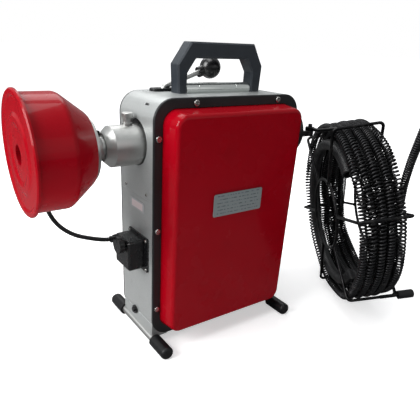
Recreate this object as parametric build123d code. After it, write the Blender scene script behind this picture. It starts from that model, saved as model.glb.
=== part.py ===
from build123d import *
import math
import os

# Sectional drain snake machine with a front cable drum and a cable carrier.
# Millimetres. +Z is up and z = 0 is the floor. The spindle runs along X with the cable
# mouth at -X. The machine stands upright and its two side covers face -Y and +Y. The
# shapes are drawn with x = 0, y = 0 in the middle of the housing; save() moves them so
# that the origin of every file is the middle of the whole footprint.

# ---- driving dimensions ----------------------------------------------------------------
BODY_W = 304.0          # housing length along X
BODY_H = 430.0          # housing height
BODY_Z = 20.0           # underside of the housing above the floor
BODY_R = 35.0           # outer corner radius of the housing
FRAME_HALF = 57.0       # half depth of the cast frame ring
FRAME_WALL = 6.0
BEZEL_T = 4.5           # black bezel, each side
BEZEL_BAND = 15.6       # width of the bezel around the cover
COVER_DEPTH = 38.0
COVER_T = 2.0
COVER_DRAFT = 7.5       # degrees
COVER_R = 25.0
COVER_FACE_R = 7.0

SPINDLE_Z = 371.0
LEVER_SHAFT_X = -84.0
LEVER_SHAFT_Z = 428.0
LEVER_Y = 35.0          # plane of the clutch lever, behind the handle
LEVER_SWING = 22.0      # degrees from clamped to released
JAW_TRAVEL = 3.0

MOTOR_X = -52.0         # middle of the motor
MOTOR_Z = 88.0
PULLEY_X = 46.0
PULLEY_R = 64.0
MOTOR_PULLEY_R = 20.0
PULLEY_W = 24.0

DRUM_FACE_X = -341.0
DRUM_BACK_X = -240.0
DRUM_R = 86.5
DRUM_LIP_R = 92.0
DRUM_NECK_R = 56.0

FOOT_X = 147.0
FOOT_HALF = 112.0
FOOT_R = 12.5
FOOT_FLAT = 0.6         # worn flat under each rubber cap
FOOT_BAR_R = 8.0

CARRIER = (310.0, -101.0, 209.2)    # middle of the cable coil
CARRIER_TURN = -32.3                # heading of the coil's axis from +X, degrees
CARRIER_LEAN = 10.3                 # rise of the coil's axis, degrees: the foot stands out
CABLE_R = 7.8                       # drain cable, outside
COIL_PITCH = 16.0                   # between layers
COLUMN_PITCH = 17.2                 # between columns along the coil's axis
COIL_OUT_R = 182.0                  # centre line of the outermost layer
COLUMN_LAYERS = (1, 2, 3, 3, 3)     # layers in each column, from the machine outwards
CAGE_R = 196.5
CAGE_HALF = 48.0
CAGE_WIRE_R = 3.0
CAGE_HOOP_R = 75.5                  # hoop on the machine side
CAGE_FAR_HOOP_R = 92.0
CAGE_BARS = 6
CAGE_PHASE = 44.0                   # angle of the first bar, degrees
FOOT_ROD_R = 3.6                    # end of a lower bar inside its rubber cap

RUN_FIT = 0.05          # radial clearance of every running fit
TOP_Z = BODY_Z + BODY_H
MID_Z = BODY_Z + BODY_H / 2
FRONT_X = -BODY_W / 2
REAR_X = BODY_W / 2

FOOTPRINT_MID = (58.8, 5.6)      # middle of the whole footprint in drawing coordinates

os.makedirs("parts", exist_ok=True)


# ---- helpers ---------------------------------------------------------------------------
def save(name, *shapes):
    """Write one node as a group of separate solids, moved to the shared origin."""
    home = Pos(-FOOTPRINT_MID[0], -FOOTPRINT_MID[1], 0)
    solids = [home * s for shape in shapes for s in shape.solids()]
    export_step(Compound(children=solids), "parts/" + name + ".step")


def block(x0, x1, y0, y1, z0, z1):
    centre = ((x0 + x1) / 2, (y0 + y1) / 2, (z0 + z1) / 2)
    return Pos(*centre) * Box(x1 - x0, y1 - y0, z1 - z0)


def rod_x(x0, x1, y, z, r):
    return Pos((x0 + x1) / 2, y, z) * Rot(0, 90, 0) * Cylinder(r, x1 - x0)


def rod_y(y0, y1, x, z, r):
    return Pos(x, (y0 + y1) / 2, z) * Rot(90, 0, 0) * Cylinder(r, y1 - y0)


def rod_z(z0, z1, x, y, r):
    return Pos(x, y, (z0 + z1) / 2) * Cylinder(r, z1 - z0)


def tube_x(x0, x1, r_out, r_in, y=0.0, z=SPINDLE_Z):
    return rod_x(x0, x1, y, z, r_out) - rod_x(x0 - 1, x1 + 1, y, z, r_in)


def turned(points, z=SPINDLE_Z):
    """Solid of revolution about the X direction at height z, from (x, radius) points."""
    outline = make_face(Polyline(*points, close=True))
    return Pos(0, 0, z) * revolve(outline, Axis.X)


def circle_edges(solid, x, r):
    def wanted(edge):
        here = edge.center(CenterOf.BOUNDING_BOX)
        return abs(here.X - x) < 0.05 and abs(edge.radius - r) < 0.05

    return solid.edges().filter_by(GeomType.CIRCLE).filter_by(wanted)


def rounded_plate(width, height, radius, y0, y1, z_mid=MID_Z):
    """Upright plate with round corners between two Y planes."""
    sketch = Plane.XZ * RectangleRounded(width, height, radius)
    plate = extrude(sketch, y1 - y0, dir=(0, 1, 0))
    return Pos(0, y0, z_mid) * plate


def bent_rod(points, r, bend):
    """Round wire along straight runs with bent corners."""
    path = FilletPolyline(*points, radius=bend)
    start = Plane(origin=path @ 0, z_dir=path % 0)
    return sweep(start * Circle(r), path=path)


def smooth_rod(points, r, first, last):
    """Round flexible lead through the points, leaving and arriving along two directions."""
    path = Spline(*points, tangents=[first, last])
    start = Plane(origin=path @ 0, z_dir=path % 0)
    return sweep(start * Circle(r), path=path)


def pan_screw_y(x, z, y_face, side, r_head, r_shank, length):
    """Pan-head screw along Y. side is +1 when the head faces +Y."""
    head = rod_y(0, 2.4, 0, 0, r_head)
    head = fillet(head.edges().group_by(Axis.Y)[-1], 1.2)
    recess = block(-0.6, 0.6, 1.4, 3, -r_head * 0.6, r_head * 0.6)
    recess += block(-r_head * 0.6, r_head * 0.6, 1.4, 3, -0.6, 0.6)
    screw = head - recess + rod_y(-length, 0, 0, 0, r_shank)
    if side < 0:
        screw = Rot(0, 0, 180) * screw
    return Pos(x, y_face, z) * screw


def pan_screw_x(y, z, x_face, r_head, r_shank, length):
    """Pan-head screw along X with its head facing -X."""
    return Pos(x_face, y, z) * Rot(0, 0, 90) * pan_screw_y(0, 0, 0, 1, r_head, r_shank, length)


def both_sides(shape):
    return [shape, mirror(shape, about=Plane.XZ)]


# ---- housing ---------------------------------------------------------------------------
BEZEL_SCREW_R = 2.0
SCREW_INSET = 8.3
SIDE_X = BODY_W / 2 - SCREW_INSET
END_Z = BODY_H / 2 - SCREW_INSET
BEZEL_SCREW_SPOTS = [(sx * SIDE_X, MID_Z + dz) for sx in (-1, 1) for dz in (-155, 0, 155)]
BEZEL_SCREW_SPOTS += [(x, MID_Z + sz * END_Z) for x in (-76, 98) for sz in (-1, 1)]
BEZEL_BOSS_R = 5.5
BEZEL_BOSS_Y = 45.5     # inner end of the screw bosses
NOSE_HOLE_R = 38.5
NOSE_HOLE_Z = SPINDLE_Z + 4
SEAM_Z = 285.5          # joint between the upper and lower wall sheets
SEAM_SCREW_Y = (-37.0, 37.0)
SEAM_SCREW_Z = 294.0
RESET_Y = 8.0
RESET_Z = 44.0
RESET_R = 5.0           # overload button
RESET_NECK_R = 5.8
REAR_HOLE_R = 26.0
BOX_Z = 183.0           # switch box centre
BOX_Y = -10.0
BOX_SCREWS = [(BOX_Y + sy * 31, BOX_Z + sz * 28) for sy in (-1, 1) for sz in (-1, 1)]
BOX_SCREW_R = 1.7
LEVER_SLOT = (-98.0, -66.0)
HANDLE_BOLT_X = (-70.0, 85.5)
HANDLE_HALF = 13.0

def frame_ring():
    ring = rounded_plate(BODY_W, BODY_H, BODY_R, -FRAME_HALF, FRAME_HALF)
    hollow = rounded_plate(
        BODY_W - 2 * FRAME_WALL, BODY_H - 2 * FRAME_WALL, BODY_R - FRAME_WALL, -80, 80
    )
    ring -= hollow
    for sx in (-1, 1):
        # cast pad that carries each foot bar below the round corner
        x_out = sx * (BODY_W / 2 - 1)
        x_in = sx * 116
        pad = block(min(x_in, x_out), max(x_in, x_out), -FRAME_HALF, FRAME_HALF, 15, 44)
        pad = fillet(pad.edges().filter_by(Axis.Y).group_by(Axis.Z)[0], 3) - hollow
        ring += pad
        ring -= rod_y(-80, 80, sx * FOOT_X, FOOT_R - FOOT_FLAT, FOOT_BAR_R)
    for x, z in BEZEL_SCREW_SPOTS:
        for y0, y1 in ((-FRAME_HALF, -BEZEL_BOSS_Y), (BEZEL_BOSS_Y, FRAME_HALF)):
            ring += rod_y(y0, y1, x, z, BEZEL_BOSS_R)
    for x, z in BEZEL_SCREW_SPOTS:
        ring -= rod_y(-80, -BEZEL_BOSS_Y, x, z, BEZEL_SCREW_R)
        ring -= rod_y(BEZEL_BOSS_Y, 80, x, z, BEZEL_SCREW_R)
    ring -= rod_x(FRONT_X - 1, FRONT_X + FRAME_WALL + 1, 0, NOSE_HOLE_Z, NOSE_HOLE_R)
    ring -= rod_x(REAR_X - FRAME_WALL - 1, REAR_X + 1, 0, SPINDLE_Z, REAR_HOLE_R)
    # openings behind the switch box and the overload button
    ring -= block(FRONT_X - 1, FRONT_X + 7, BOX_Y - 22, BOX_Y + 22, BOX_Z - 22, BOX_Z + 22)
    ring -= rod_x(FRONT_X - 1, FRONT_X + 16, RESET_Y, RESET_Z, RESET_NECK_R)
    for y, z in BOX_SCREWS:
        ring -= rod_x(FRONT_X - 1, FRONT_X + 12, y, z, BOX_SCREW_R)
    # slot for the clutch lever and holes for the handle bolts
    ring -= block(LEVER_SLOT[0], LEVER_SLOT[1], LEVER_Y - 6.5, LEVER_Y + 6.5, TOP_Z - 8, TOP_Z + 1)
    for hanger in lever_hangers():
        ring += hanger
    for x in HANDLE_BOLT_X:
        ring -= rod_z(TOP_Z - 8, TOP_Z + 1, x, 0, 4)
    # drain and vent slot in the front top corner
    ring -= Pos(FRONT_X + 8, -24, TOP_Z - 12) * Rot(0, 45, 0) * Box(30, 12, 4)
    # seam line across the front wall and the screws above it
    ring -= block(FRONT_X - 1, FRONT_X + 0.4, -FRAME_HALF - 1, FRAME_HALF + 1, SEAM_Z - 0.45, SEAM_Z + 0.45)
    for y in SEAM_SCREW_Y:
        ring -= rod_x(FRONT_X - 1, FRONT_X + 4, y, SEAM_SCREW_Z, BOX_SCREW_R)
    return ring


def bezel():
    """Black bezel on the -Y side."""
    outer = rounded_plate(BODY_W, BODY_H, BODY_R, -FRAME_HALF - BEZEL_T, -FRAME_HALF)
    outline = outer.edges().filter_by(lambda e: abs(e.center().Y + FRAME_HALF + BEZEL_T) < 0.01)
    outer = fillet(outline, 1.5)
    width = BODY_W - 2 * BEZEL_BAND
    height = BODY_H - 2 * BEZEL_BAND
    outer -= rounded_plate(width + 0.6, height + 0.6, COVER_R + 0.3, -80, 0)
    # step that traps the flange of the cover
    outer -= rounded_plate(BODY_W - 12, BODY_H - 12, BODY_R - 6, -FRAME_HALF - 1.6, 0)
    for x, z in BEZEL_SCREW_SPOTS:
        outer -= rod_y(-80, 0, x, z, BEZEL_SCREW_R)
    return outer


def side_cover():
    """Deep pressed cover on the -Y side with a flange under the bezel."""
    width = BODY_W - 2 * BEZEL_BAND
    height = BODY_H - 2 * BEZEL_BAND

    def shell_block(shrink, depth, face_r):
        base = RectangleRounded(width - 2 * shrink, height - 2 * shrink, COVER_R - shrink)
        solid = extrude(Plane.XZ * base, depth, taper=COVER_DRAFT)
        face = solid.faces().sort_by(Axis.Y)[0]
        return fillet(face.edges(), face_r)

    outside = shell_block(0, COVER_DEPTH + 1.5, COVER_FACE_R)
    inside = shell_block(COVER_T, COVER_DEPTH + 1.5 - COVER_T, COVER_FACE_R - COVER_T)
    shell = Pos(0, -FRAME_HALF - 0.05, MID_Z) * (outside - inside)
    flange = rounded_plate(
        BODY_W - 12.6, BODY_H - 12.6, BODY_R - 6.3, -FRAME_HALF - 1.5, -FRAME_HALF - 0.05
    )
    inner_w = width - 2 * COVER_T
    inner_h = height - 2 * COVER_T
    flange -= rounded_plate(inner_w, inner_h, COVER_R - COVER_T, -80, 0)
    for x, z in BEZEL_SCREW_SPOTS:
        flange -= rod_y(-80, 0, x, z, BEZEL_SCREW_R + 6)
    return shell + flange


def label_plate():
    plate = block(-57, 49, -99.3, -98.55, 258, 298)
    return fillet(plate.edges().filter_by(Axis.Y), 3)


# ---- handle and top --------------------------------------------------------------------
def handle():
    outline = [
        (-79, TOP_Z), (-82, TOP_Z + 45), (-57, TOP_Z + 79), (76, TOP_Z + 79),
        (98, TOP_Z + 43), (96, TOP_Z), (75, TOP_Z), (75, TOP_Z + 33),
        (61, TOP_Z + 54), (-46, TOP_Z + 54), (-62, TOP_Z + 32), (-63, TOP_Z),
    ]
    face = make_face(Polyline(*outline, close=True))
    solid = extrude(Plane.XZ * face, HANDLE_HALF, both=True)
    corners = solid.edges().filter_by(Axis.Y).filter_by(lambda e: e.center().Z > TOP_Z + 1)
    solid = fillet(corners, 3)
    rims = solid.edges().filter_by(
        lambda e: abs(abs(e.center().Y) - HANDLE_HALF) < 0.01 and e.center().Z > TOP_Z + 1
    )
    solid = chamfer(rims, 2.5)
    for x in HANDLE_BOLT_X:
        solid -= rod_z(TOP_Z - 1, TOP_Z + 30, x, 0, 4)
    return solid


def handle_bolts():
    bolts = []
    for x in HANDLE_BOLT_X:
        head = extrude(RegularPolygon(7.5, 6), 5.5)
        head = Pos(x, 0, TOP_Z - FRAME_WALL - 5.5 - 1.5) * head
        washer = rod_z(TOP_Z - FRAME_WALL - 1.5, TOP_Z - FRAME_WALL, x, 0, 9)
        bolts.append(head + washer + rod_z(TOP_Z - 8, TOP_Z + 29, x, 0, 3.95))
    return bolts


def top_bar():
    """Polished half-round bar lying on the housing between the handle posts."""
    bar = rod_x(-61.8, 74, 0, TOP_Z + 5, 11)
    bar -= block(-80, 80, -20, 20, TOP_Z - 20, TOP_Z)
    for x in (-36, 44):
        bar -= tube_x(x - 0.6, x + 0.6, 14, 10.6, 0, TOP_Z + 5)
    return bar


# ---- clutch lever ----------------------------------------------------------------------
FORK_Y = 40.0           # inner face of the fork cheeks
FORK_T = 5.0
LEVER_SHAFT_R = 6.0
COLLAR_R = 38.0
GROOVE_R = 34.0
GROOVE_HALF = 5.0
FORK_ARM = LEVER_SHAFT_Z - SPINDLE_Z
HALF_SWING = math.radians(LEVER_SWING / 2)
FORK_THROW = FORK_ARM * math.sin(HALF_SWING)
GROOVE_X = LEVER_SHAFT_X - FORK_THROW
BALL = (16.0, LEVER_Y, 488.0)
BALL_R = 19.0


LEVER_FOOT = (LEVER_SHAFT_X, LEVER_Y, LEVER_SHAFT_Z + 9)
LEVER_BEND = (-80.0, LEVER_Y, 457.0)


def lever_shaft():
    return rod_y(-47, 47, LEVER_SHAFT_X, LEVER_SHAFT_Z, LEVER_SHAFT_R)


def shift_fork():
    """Two cheeks on the cross shaft with round pads that sit in the collar's groove."""
    pad_z = LEVER_SHAFT_Z - FORK_ARM * math.cos(HALF_SWING)
    tip = Vector(GROOVE_X, 0, pad_z)
    cheeks = []
    for side in (-1, 1):
        y0 = min(side * FORK_Y, side * (FORK_Y + FORK_T))
        y1 = y0 + FORK_T
        hub = rod_y(y0, y1, LEVER_SHAFT_X, LEVER_SHAFT_Z, 11)
        hull = hub + rod_y(y0, y1, tip.X, tip.Z, 8)
        lean = math.degrees(HALF_SWING)
        mid = ((LEVER_SHAFT_X + tip.X) / 2, (y0 + y1) / 2, (LEVER_SHAFT_Z + tip.Z) / 2)
        hull += Pos(*mid) * Rot(0, lean, 0) * Box(14, FORK_T, FORK_ARM)
        hull -= rod_y(y0 - 1, y1 + 1, LEVER_SHAFT_X, LEVER_SHAFT_Z, LEVER_SHAFT_R)
        pad_in = side * (GROOVE_R + 1.2)
        pad_out = side * FORK_Y
        hull += rod_y(min(pad_in, pad_out), max(pad_in, pad_out), tip.X, tip.Z, GROOVE_HALF - 0.4)
        cheeks.append(hull)
    return cheeks


def lever_rod():
    """Round lever from the cross shaft up through the top and back over the housing."""
    hub = rod_y(LEVER_Y - 5, LEVER_Y + 4.8, LEVER_SHAFT_X, LEVER_SHAFT_Z, 11)
    hub -= rod_y(20, 60, LEVER_SHAFT_X, LEVER_SHAFT_Z, LEVER_SHAFT_R)
    points = [LEVER_FOOT, LEVER_BEND, (BALL[0] - 6, LEVER_Y, BALL[2] - 2)]
    return hub + bent_rod(points, 4.5, 8)


def lever_ball():
    ball = Pos(*BALL) * Sphere(BALL_R)
    lean = Vector(*BALL) - Vector(*LEVER_BEND)
    collar = Plane(origin=Vector(*BALL) - lean.normalized() * 21, z_dir=lean) * Cylinder(9, 12)
    ball += collar
    return ball - lever_rod()


def lever_gaiter():
    """Rubber gaiter over the slot, open along the lever's swing."""
    x0, x1 = LEVER_SLOT
    plate = block(x0 - 7, x1 + 7, LEVER_Y - 11, LEVER_Y + 11, TOP_Z, TOP_Z + 5)
    plate = fillet(plate.edges().filter_by(Axis.Z), 8)
    plate = fillet(plate.faces().sort_by(Axis.Z)[-1].edges(), 2)
    return plate - block(x0 + 1, x1 - 1, LEVER_Y - 5.2, LEVER_Y + 5.2, TOP_Z - 1, TOP_Z + 8)


def lever_hangers():
    """Two hangers cast under the top wall that carry the cross shaft."""
    out = []
    for side in (-1, 1):
        y0 = min(side * 21.5, side * 27.5)
        hanger = block(-96, -72, y0, y0 + 6, LEVER_SHAFT_Z - 4, TOP_Z - FRAME_WALL + 1)
        hanger += rod_y(y0, y0 + 6, LEVER_SHAFT_X, LEVER_SHAFT_Z, 12)
        hanger -= rod_y(y0 - 1, y0 + 7, LEVER_SHAFT_X, LEVER_SHAFT_Z, LEVER_SHAFT_R + RUN_FIT)
        out.append(hanger)
    return out


# ---- spindle, clutch and bearings ------------------------------------------------------
SPINDLE_BORE_R = 12.5
SPINDLE_R = 18.0
BEARING_BORE_R = 20.0
BEARING_OUT_R = 34.0
BEARING_W = 15.0
FRONT_BEARING_X = -128.5
REAR_BEARING_X = 123.5
JAW_X0 = -31.0
JAW_X1 = -7.0
CONE_FRONT_X = -60.0
CONE_BACK_X = 0.0
CONE_WALL = 5.0
CONE_SLOPE = JAW_TRAVEL / (2 * FORK_THROW)
JAW_FRONT_R = 27.0
SHANK_R = 11.0
BARREL_R = 33.0
BARREL_TIP_X = -212.0
BARREL_MOUTH_R = 21.0
SLEEVE_R = 25.95
SLEEVE_X0 = -197.5
LOCK_X = -167.0
LOCK_SEAT_Z = 400.0
LOCK_TOP_Z = 415.0
LOCK_BODY_R = 7.0
LOCK_PIN_R = 3.0


def cone_radius(x):
    return JAW_FRONT_R - (x - JAW_X0) * CONE_SLOPE


def spindle():
    s = turned([
        (-138, SPINDLE_BORE_R), (-138, BEARING_BORE_R), (-119.5, BEARING_BORE_R), (-119.5, 23),
        (-115, 23), (-115, SPINDLE_R), (112, SPINDLE_R), (112, 23), (115.8, 23),
        (115.8, BEARING_BORE_R), (134, BEARING_BORE_R), (134, 17), (150, 17), (150, SPINDLE_BORE_R),
    ])
    for k in range(3):
        slot = block(JAW_X0 - 0.1, JAW_X1 + 0.1, -5.1, 5.1, 0, 30)
        s -= Pos(0, 0, SPINDLE_Z) * Rot(120 * k, 0, 0) * slot
    return s


def jaw(k):
    """Clutch jaw: a ramped block with a hollow gripping face."""
    side = [
        (JAW_X0, 10.2), (JAW_X0, cone_radius(JAW_X0) - RUN_FIT),
        (JAW_X1, cone_radius(JAW_X1) - RUN_FIT), (JAW_X1, 10.2),
    ]
    wedge = revolve(make_face(Polyline(*side, close=True)), Axis.X)
    wedge &= block(JAW_X0 - 1, JAW_X1 + 1, -5, 5, 0, 40)
    wedge -= rod_x(JAW_X0 - 1, JAW_X1 + 1, 0, 0, SHANK_R + RUN_FIT)
    return Pos(0, 0, SPINDLE_Z) * Rot(120 * k, 0, 0) * wedge


def clamp_cone():
    """Sliding sleeve whose inner taper closes the jaws."""
    bore = SPINDLE_R + RUN_FIT
    taper_front = CONE_FRONT_X + CONE_WALL
    taper_back = CONE_BACK_X - CONE_WALL
    return turned([
        (GROOVE_X - 7, bore), (GROOVE_X - 7, 25), (CONE_FRONT_X, 25), (CONE_FRONT_X, 33),
        (CONE_BACK_X, 33), (CONE_BACK_X, bore), (taper_back, bore),
        (taper_back, cone_radius(taper_back)), (taper_front, cone_radius(taper_front)),
        (taper_front, bore),
    ])


def ball_bearing(x, r_in, r_out, width, ball_r, count, z=SPINDLE_Z):
    """Deep-groove ball bearing: inner race, outer race and the ring of balls."""
    mid = (r_in + r_out) / 2
    track = Pos(x, 0, z) * Rot(0, 90, 0) * Torus(mid, ball_r + 0.03)
    wall = (r_out - r_in) * 0.3
    inner = tube_x(x - width / 2, x + width / 2, r_in + wall, r_in, 0, z) - track
    outer = tube_x(x - width / 2, x + width / 2, r_out, r_out - wall, 0, z) - track
    balls = []
    for k in range(count):
        turn = 2 * math.pi * k / count
        balls.append(Pos(x, mid * math.cos(turn), z + mid * math.sin(turn)) * Sphere(ball_r))
    return inner, outer, balls


def shift_collar():
    """Ring that doesn't turn, with a groove for the shift fork."""
    x0 = GROOVE_X - 8
    x1 = GROOVE_X + 8
    return turned([
        (x0, 32.5), (x0, COLLAR_R), (GROOVE_X - GROOVE_HALF, COLLAR_R),
        (GROOVE_X - GROOVE_HALF, GROOVE_R), (GROOVE_X + GROOVE_HALF, GROOVE_R),
        (GROOVE_X + GROOVE_HALF, COLLAR_R), (x1, COLLAR_R), (x1, 32.5),
    ])


def inner_space():
    """Hollow of the frame ring between the screw bosses."""
    return rounded_plate(
        BODY_W - 2 * FRAME_WALL, BODY_H - 2 * FRAME_WALL, BODY_R - FRAME_WALL, -44.5, 44.5
    )


def front_housing():
    """Black casting inside the front wall that holds the barrel and the front bearing."""
    plate = rod_x(FRONT_X + FRAME_WALL, FRONT_X + 12, 0, SPINDLE_Z + 2, 57)
    cup = rod_x(FRONT_X + 12, -120, 0, SPINDLE_Z, 42)
    whole = (plate & inner_space()) + cup
    whole -= rod_x(-160, -139.9, 0, SPINDLE_Z, BARREL_R)
    whole -= rod_x(-140, -136.5, 0, SPINDLE_Z, 24)
    whole -= rod_x(-136, -100, 0, SPINDLE_Z, BEARING_OUT_R)
    whole -= rod_x(-141, -130, 0, SPINDLE_Z, 24)
    return whole


def rear_housing():
    plate = rod_x(REAR_X - 14, REAR_X - FRAME_WALL, 0, SPINDLE_Z, 56)
    cup = rod_x(116, REAR_X - 14, 0, SPINDLE_Z, 42)
    whole = (plate & inner_space()) + cup
    whole -= rod_x(100, 131, 0, SPINDLE_Z, BEARING_OUT_R)
    return whole - rod_x(120, 160, 0, SPINDLE_Z, 24)


def nose_barrel():
    """Turned barrel with a conical end; its bore holds the sleeve behind a narrower mouth."""
    body = turned([
        (BARREL_TIP_X, BARREL_MOUTH_R), (BARREL_TIP_X, 22.5), (BARREL_TIP_X + 12, BARREL_R),
        (-140, BARREL_R), (-140, 22), (-141, 22), (-141, SLEEVE_R + RUN_FIT),
        (SLEEVE_X0 - 0.5, SLEEVE_R + RUN_FIT), (SLEEVE_X0 - 0.5, BARREL_MOUTH_R),
    ])
    # seat and hole for the lock pin
    body -= rod_z(LOCK_SEAT_Z, 410, LOCK_X, 0, LOCK_BODY_R)
    return body - rod_z(390, 410, LOCK_X, 0, LOCK_PIN_R + RUN_FIT)


def drum_sleeve():
    """Plain bearing sleeve for the drum shank, held in the barrel by the lock pin."""
    s = tube_x(SLEEVE_X0, -150, SLEEVE_R, 20 + RUN_FIT)
    return s - rod_z(394, 410, LOCK_X, 0, 4)


def lock_pin_housing():
    ring = rod_z(LOCK_SEAT_Z, LOCK_TOP_Z, LOCK_X, 0, LOCK_BODY_R)
    ring = fillet(ring.edges().group_by(Axis.Z)[-1], 0.8)
    ring += rod_z(404, 407.5, LOCK_X, 0, LOCK_BODY_R + 1.2)
    ring -= rod_z(LOCK_SEAT_Z, LOCK_TOP_Z - 1, LOCK_X, 0, 5.8)
    return ring - rod_z(390, 420, LOCK_X, 0, LOCK_PIN_R + RUN_FIT)


def lock_pin():
    pin = rod_z(395, 416, LOCK_X, 0, LOCK_PIN_R)
    stop = rod_z(401.5, 403, LOCK_X, 0, 5.5)
    cap = rod_z(415.6, 423, LOCK_X, 0, 9.2)
    cap = chamfer(cap.edges().group_by(Axis.Z)[-1], 1.2)
    return pin + stop + cap


def lock_pin_spring():
    coil_path = Helix(pitch=2.6, height=8.5, radius=4.8)
    profile = Plane(origin=coil_path @ 0, z_dir=coil_path % 0) * Circle(0.6)
    return Pos(LOCK_X, 0, 404.4) * sweep(profile, path=coil_path)


# ---- drive -----------------------------------------------------------------------------
GROOVE_COUNT = 4


def ribbed_pulley(x, z, radius, bore):
    """Pulley with V-shaped ribs for a ribbed belt."""
    half = PULLEY_W / 2
    points = [(x - half, bore), (x - half, radius + 3), (x - half + 2, radius + 3), (x - half + 2, radius)]
    rib = (PULLEY_W - 4) / GROOVE_COUNT
    for k in range(GROOVE_COUNT):
        start = x - half + 2 + rib * k
        points.append((start + rib / 2, radius - 3))
        points.append((start + rib, radius))
    points += [(x + half - 2, radius + 3), (x + half, radius + 3), (x + half, bore)]
    return turned(points, z)


def spindle_pulley():
    wheel = ribbed_pulley(PULLEY_X, SPINDLE_Z, PULLEY_R, SPINDLE_R)
    for side in (-1, 1):
        dish = turned([
            (PULLEY_X + side * 4, 32), (PULLEY_X + side * 20, 32),
            (PULLEY_X + side * 20, 64), (PULLEY_X + side * 4, 64),
        ])
        wheel -= dish
    for k in range(6):
        turn = math.radians(60 * k)
        y = 48 * math.cos(turn)
        z = SPINDLE_Z + 48 * math.sin(turn)
        wheel -= rod_x(PULLEY_X - 20, PULLEY_X + 20, y, z, 11)
    return wheel


def motor_pulley():
    return ribbed_pulley(PULLEY_X, MOTOR_Z, MOTOR_PULLEY_R, MOTOR_SHAFT_R)


def drive_belt():
    """Flat ribbed belt around both pulleys, clear of them by the belt's running gap."""
    drop = SPINDLE_Z - MOTOR_Z
    gap = 0.3

    def loop(extra, width):
        big = PULLEY_R + extra
        small = MOTOR_PULLEY_R + extra
        lean = math.asin((big - small) / drop)
        corners = []
        for side in (1, -1):
            upper = (side * big * math.cos(lean), SPINDLE_Z + big * math.sin(-lean))
            lower = (side * small * math.cos(lean), MOTOR_Z + small * math.sin(-lean))
            corners += [upper, lower] if side > 0 else [lower, upper]
        flat = make_face(Polyline(*corners, close=True))
        strip = extrude(Plane.YZ * flat, width / 2, both=True)
        strip += rod_x(-width / 2, width / 2, 0, SPINDLE_Z, big)
        strip += rod_x(-width / 2, width / 2, 0, MOTOR_Z, small)
        return Pos(PULLEY_X, 0, 0) * strip

    return loop(3.2, 19.0) - loop(gap, 30.0)


MOTOR_R = 50.0
MOTOR_SHAFT_R = 7.0
STATOR_IN_R = 28.0
MOTOR_BEARING_R = 17.5


def motor_housing():
    """Finned aluminium tube around the stator."""
    tube = tube_x(MOTOR_X - 45, MOTOR_X + 45, MOTOR_R, 45, 0, MOTOR_Z)
    for k in range(16):
        turn = 22.5 * k + 11.25
        fin = block(MOTOR_X - 40, MOTOR_X + 40, -1, 1, MOTOR_R - 1, MOTOR_R + 3)
        tube += Pos(0, 0, MOTOR_Z) * Rot(turn, 0, 0) * fin
    return tube


def motor_end(side):
    """End bell with its bearing seat, on the -X or +X end."""
    x0 = MOTOR_X + side * 45
    profile = [
        (x0, 45), (x0, MOTOR_R), (x0 + side * 16, MOTOR_R - 10), (x0 + side * 24, MOTOR_R - 14),
        (x0 + side * 24, MOTOR_SHAFT_R + 1.5), (x0 + side * 20, MOTOR_SHAFT_R + 1.5),
        (x0 + side * 20, MOTOR_BEARING_R), (x0 + side * 8, MOTOR_BEARING_R),
        (x0 + side * 8, MOTOR_BEARING_R + 5), (x0 + side * 18, MOTOR_BEARING_R + 5),
        (x0 + side * 12, MOTOR_R - 14), (x0 + side * 2, 45),
    ]
    return turned(profile, MOTOR_Z)


def motor_stator():
    core = tube_x(MOTOR_X - 28, MOTOR_X + 28, 45, STATOR_IN_R, 0, MOTOR_Z)
    for k in range(24):
        slot = block(MOTOR_X - 30, MOTOR_X + 30, -1.6, 1.6, STATOR_IN_R - 1, STATOR_IN_R + 9)
        core -= Pos(0, 0, MOTOR_Z) * Rot(15 * k, 0, 0) * slot
    return core


def stator_windings():
    ends = []
    for side in (-1, 1):
        x0 = MOTOR_X + side * 28.2
        x1 = MOTOR_X + side * 42
        ends.append(tube_x(min(x0, x1), max(x0, x1), 42, 30, 0, MOTOR_Z))
    return [fillet(end.edges().filter_by(GeomType.CIRCLE), 3) for end in ends]


def rotor_core():
    return tube_x(MOTOR_X - 28, MOTOR_X + 28, STATOR_IN_R - 0.5, MOTOR_SHAFT_R, 0, MOTOR_Z)


def motor_shaft():
    return turned([
        (MOTOR_X - 88, 0), (MOTOR_X - 88, MOTOR_SHAFT_R), (PULLEY_X + 14, MOTOR_SHAFT_R),
        (PULLEY_X + 14, 0),
    ], MOTOR_Z)


def cooling_fan():
    x0 = MOTOR_X - 86
    hub = tube_x(x0, x0 + 12, 14, MOTOR_SHAFT_R, 0, MOTOR_Z)
    for k in range(8):
        blade = Rot(0, 0, 18) * Box(11, 1.6, 24)
        hub += Pos(x0 + 6, 0, MOTOR_Z) * Rot(45 * k, 0, 0) * Pos(0, 0, 24) * blade
    return hub


def motor_cradle():
    """Folded plate under the motor, bolted to the floor of the housing."""
    z0 = BODY_Z + FRAME_WALL
    base = block(MOTOR_X - 42, MOTOR_X + 42, -44, 44, z0, z0 + 4)
    for side in (-1, 1):
        y0 = min(side * 26, side * 32)
        base += block(MOTOR_X - 42, MOTOR_X + 42, y0, y0 + 6, z0, MOTOR_Z - 30)
    return base - rod_x(MOTOR_X - 60, MOTOR_X + 60, 0, MOTOR_Z, MOTOR_R + 3.2)


def cradle_bolts():
    z0 = BODY_Z + FRAME_WALL + 4
    bolts = []
    for dx in (-34, 34):
        for y in (-38, 38):
            bolts.append(Pos(MOTOR_X + dx, y, z0) * extrude(RegularPolygon(5.8, 6), 4))
    return bolts


def capacitor():
    can = rod_x(70, 130, 25, 60, 20)
    can = fillet(can.edges().filter_by(GeomType.CIRCLE), 2)
    for y in (20, 30):
        can += block(62, 71, y - 0.4, y + 0.4, 57, 63)
    return can


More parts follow.
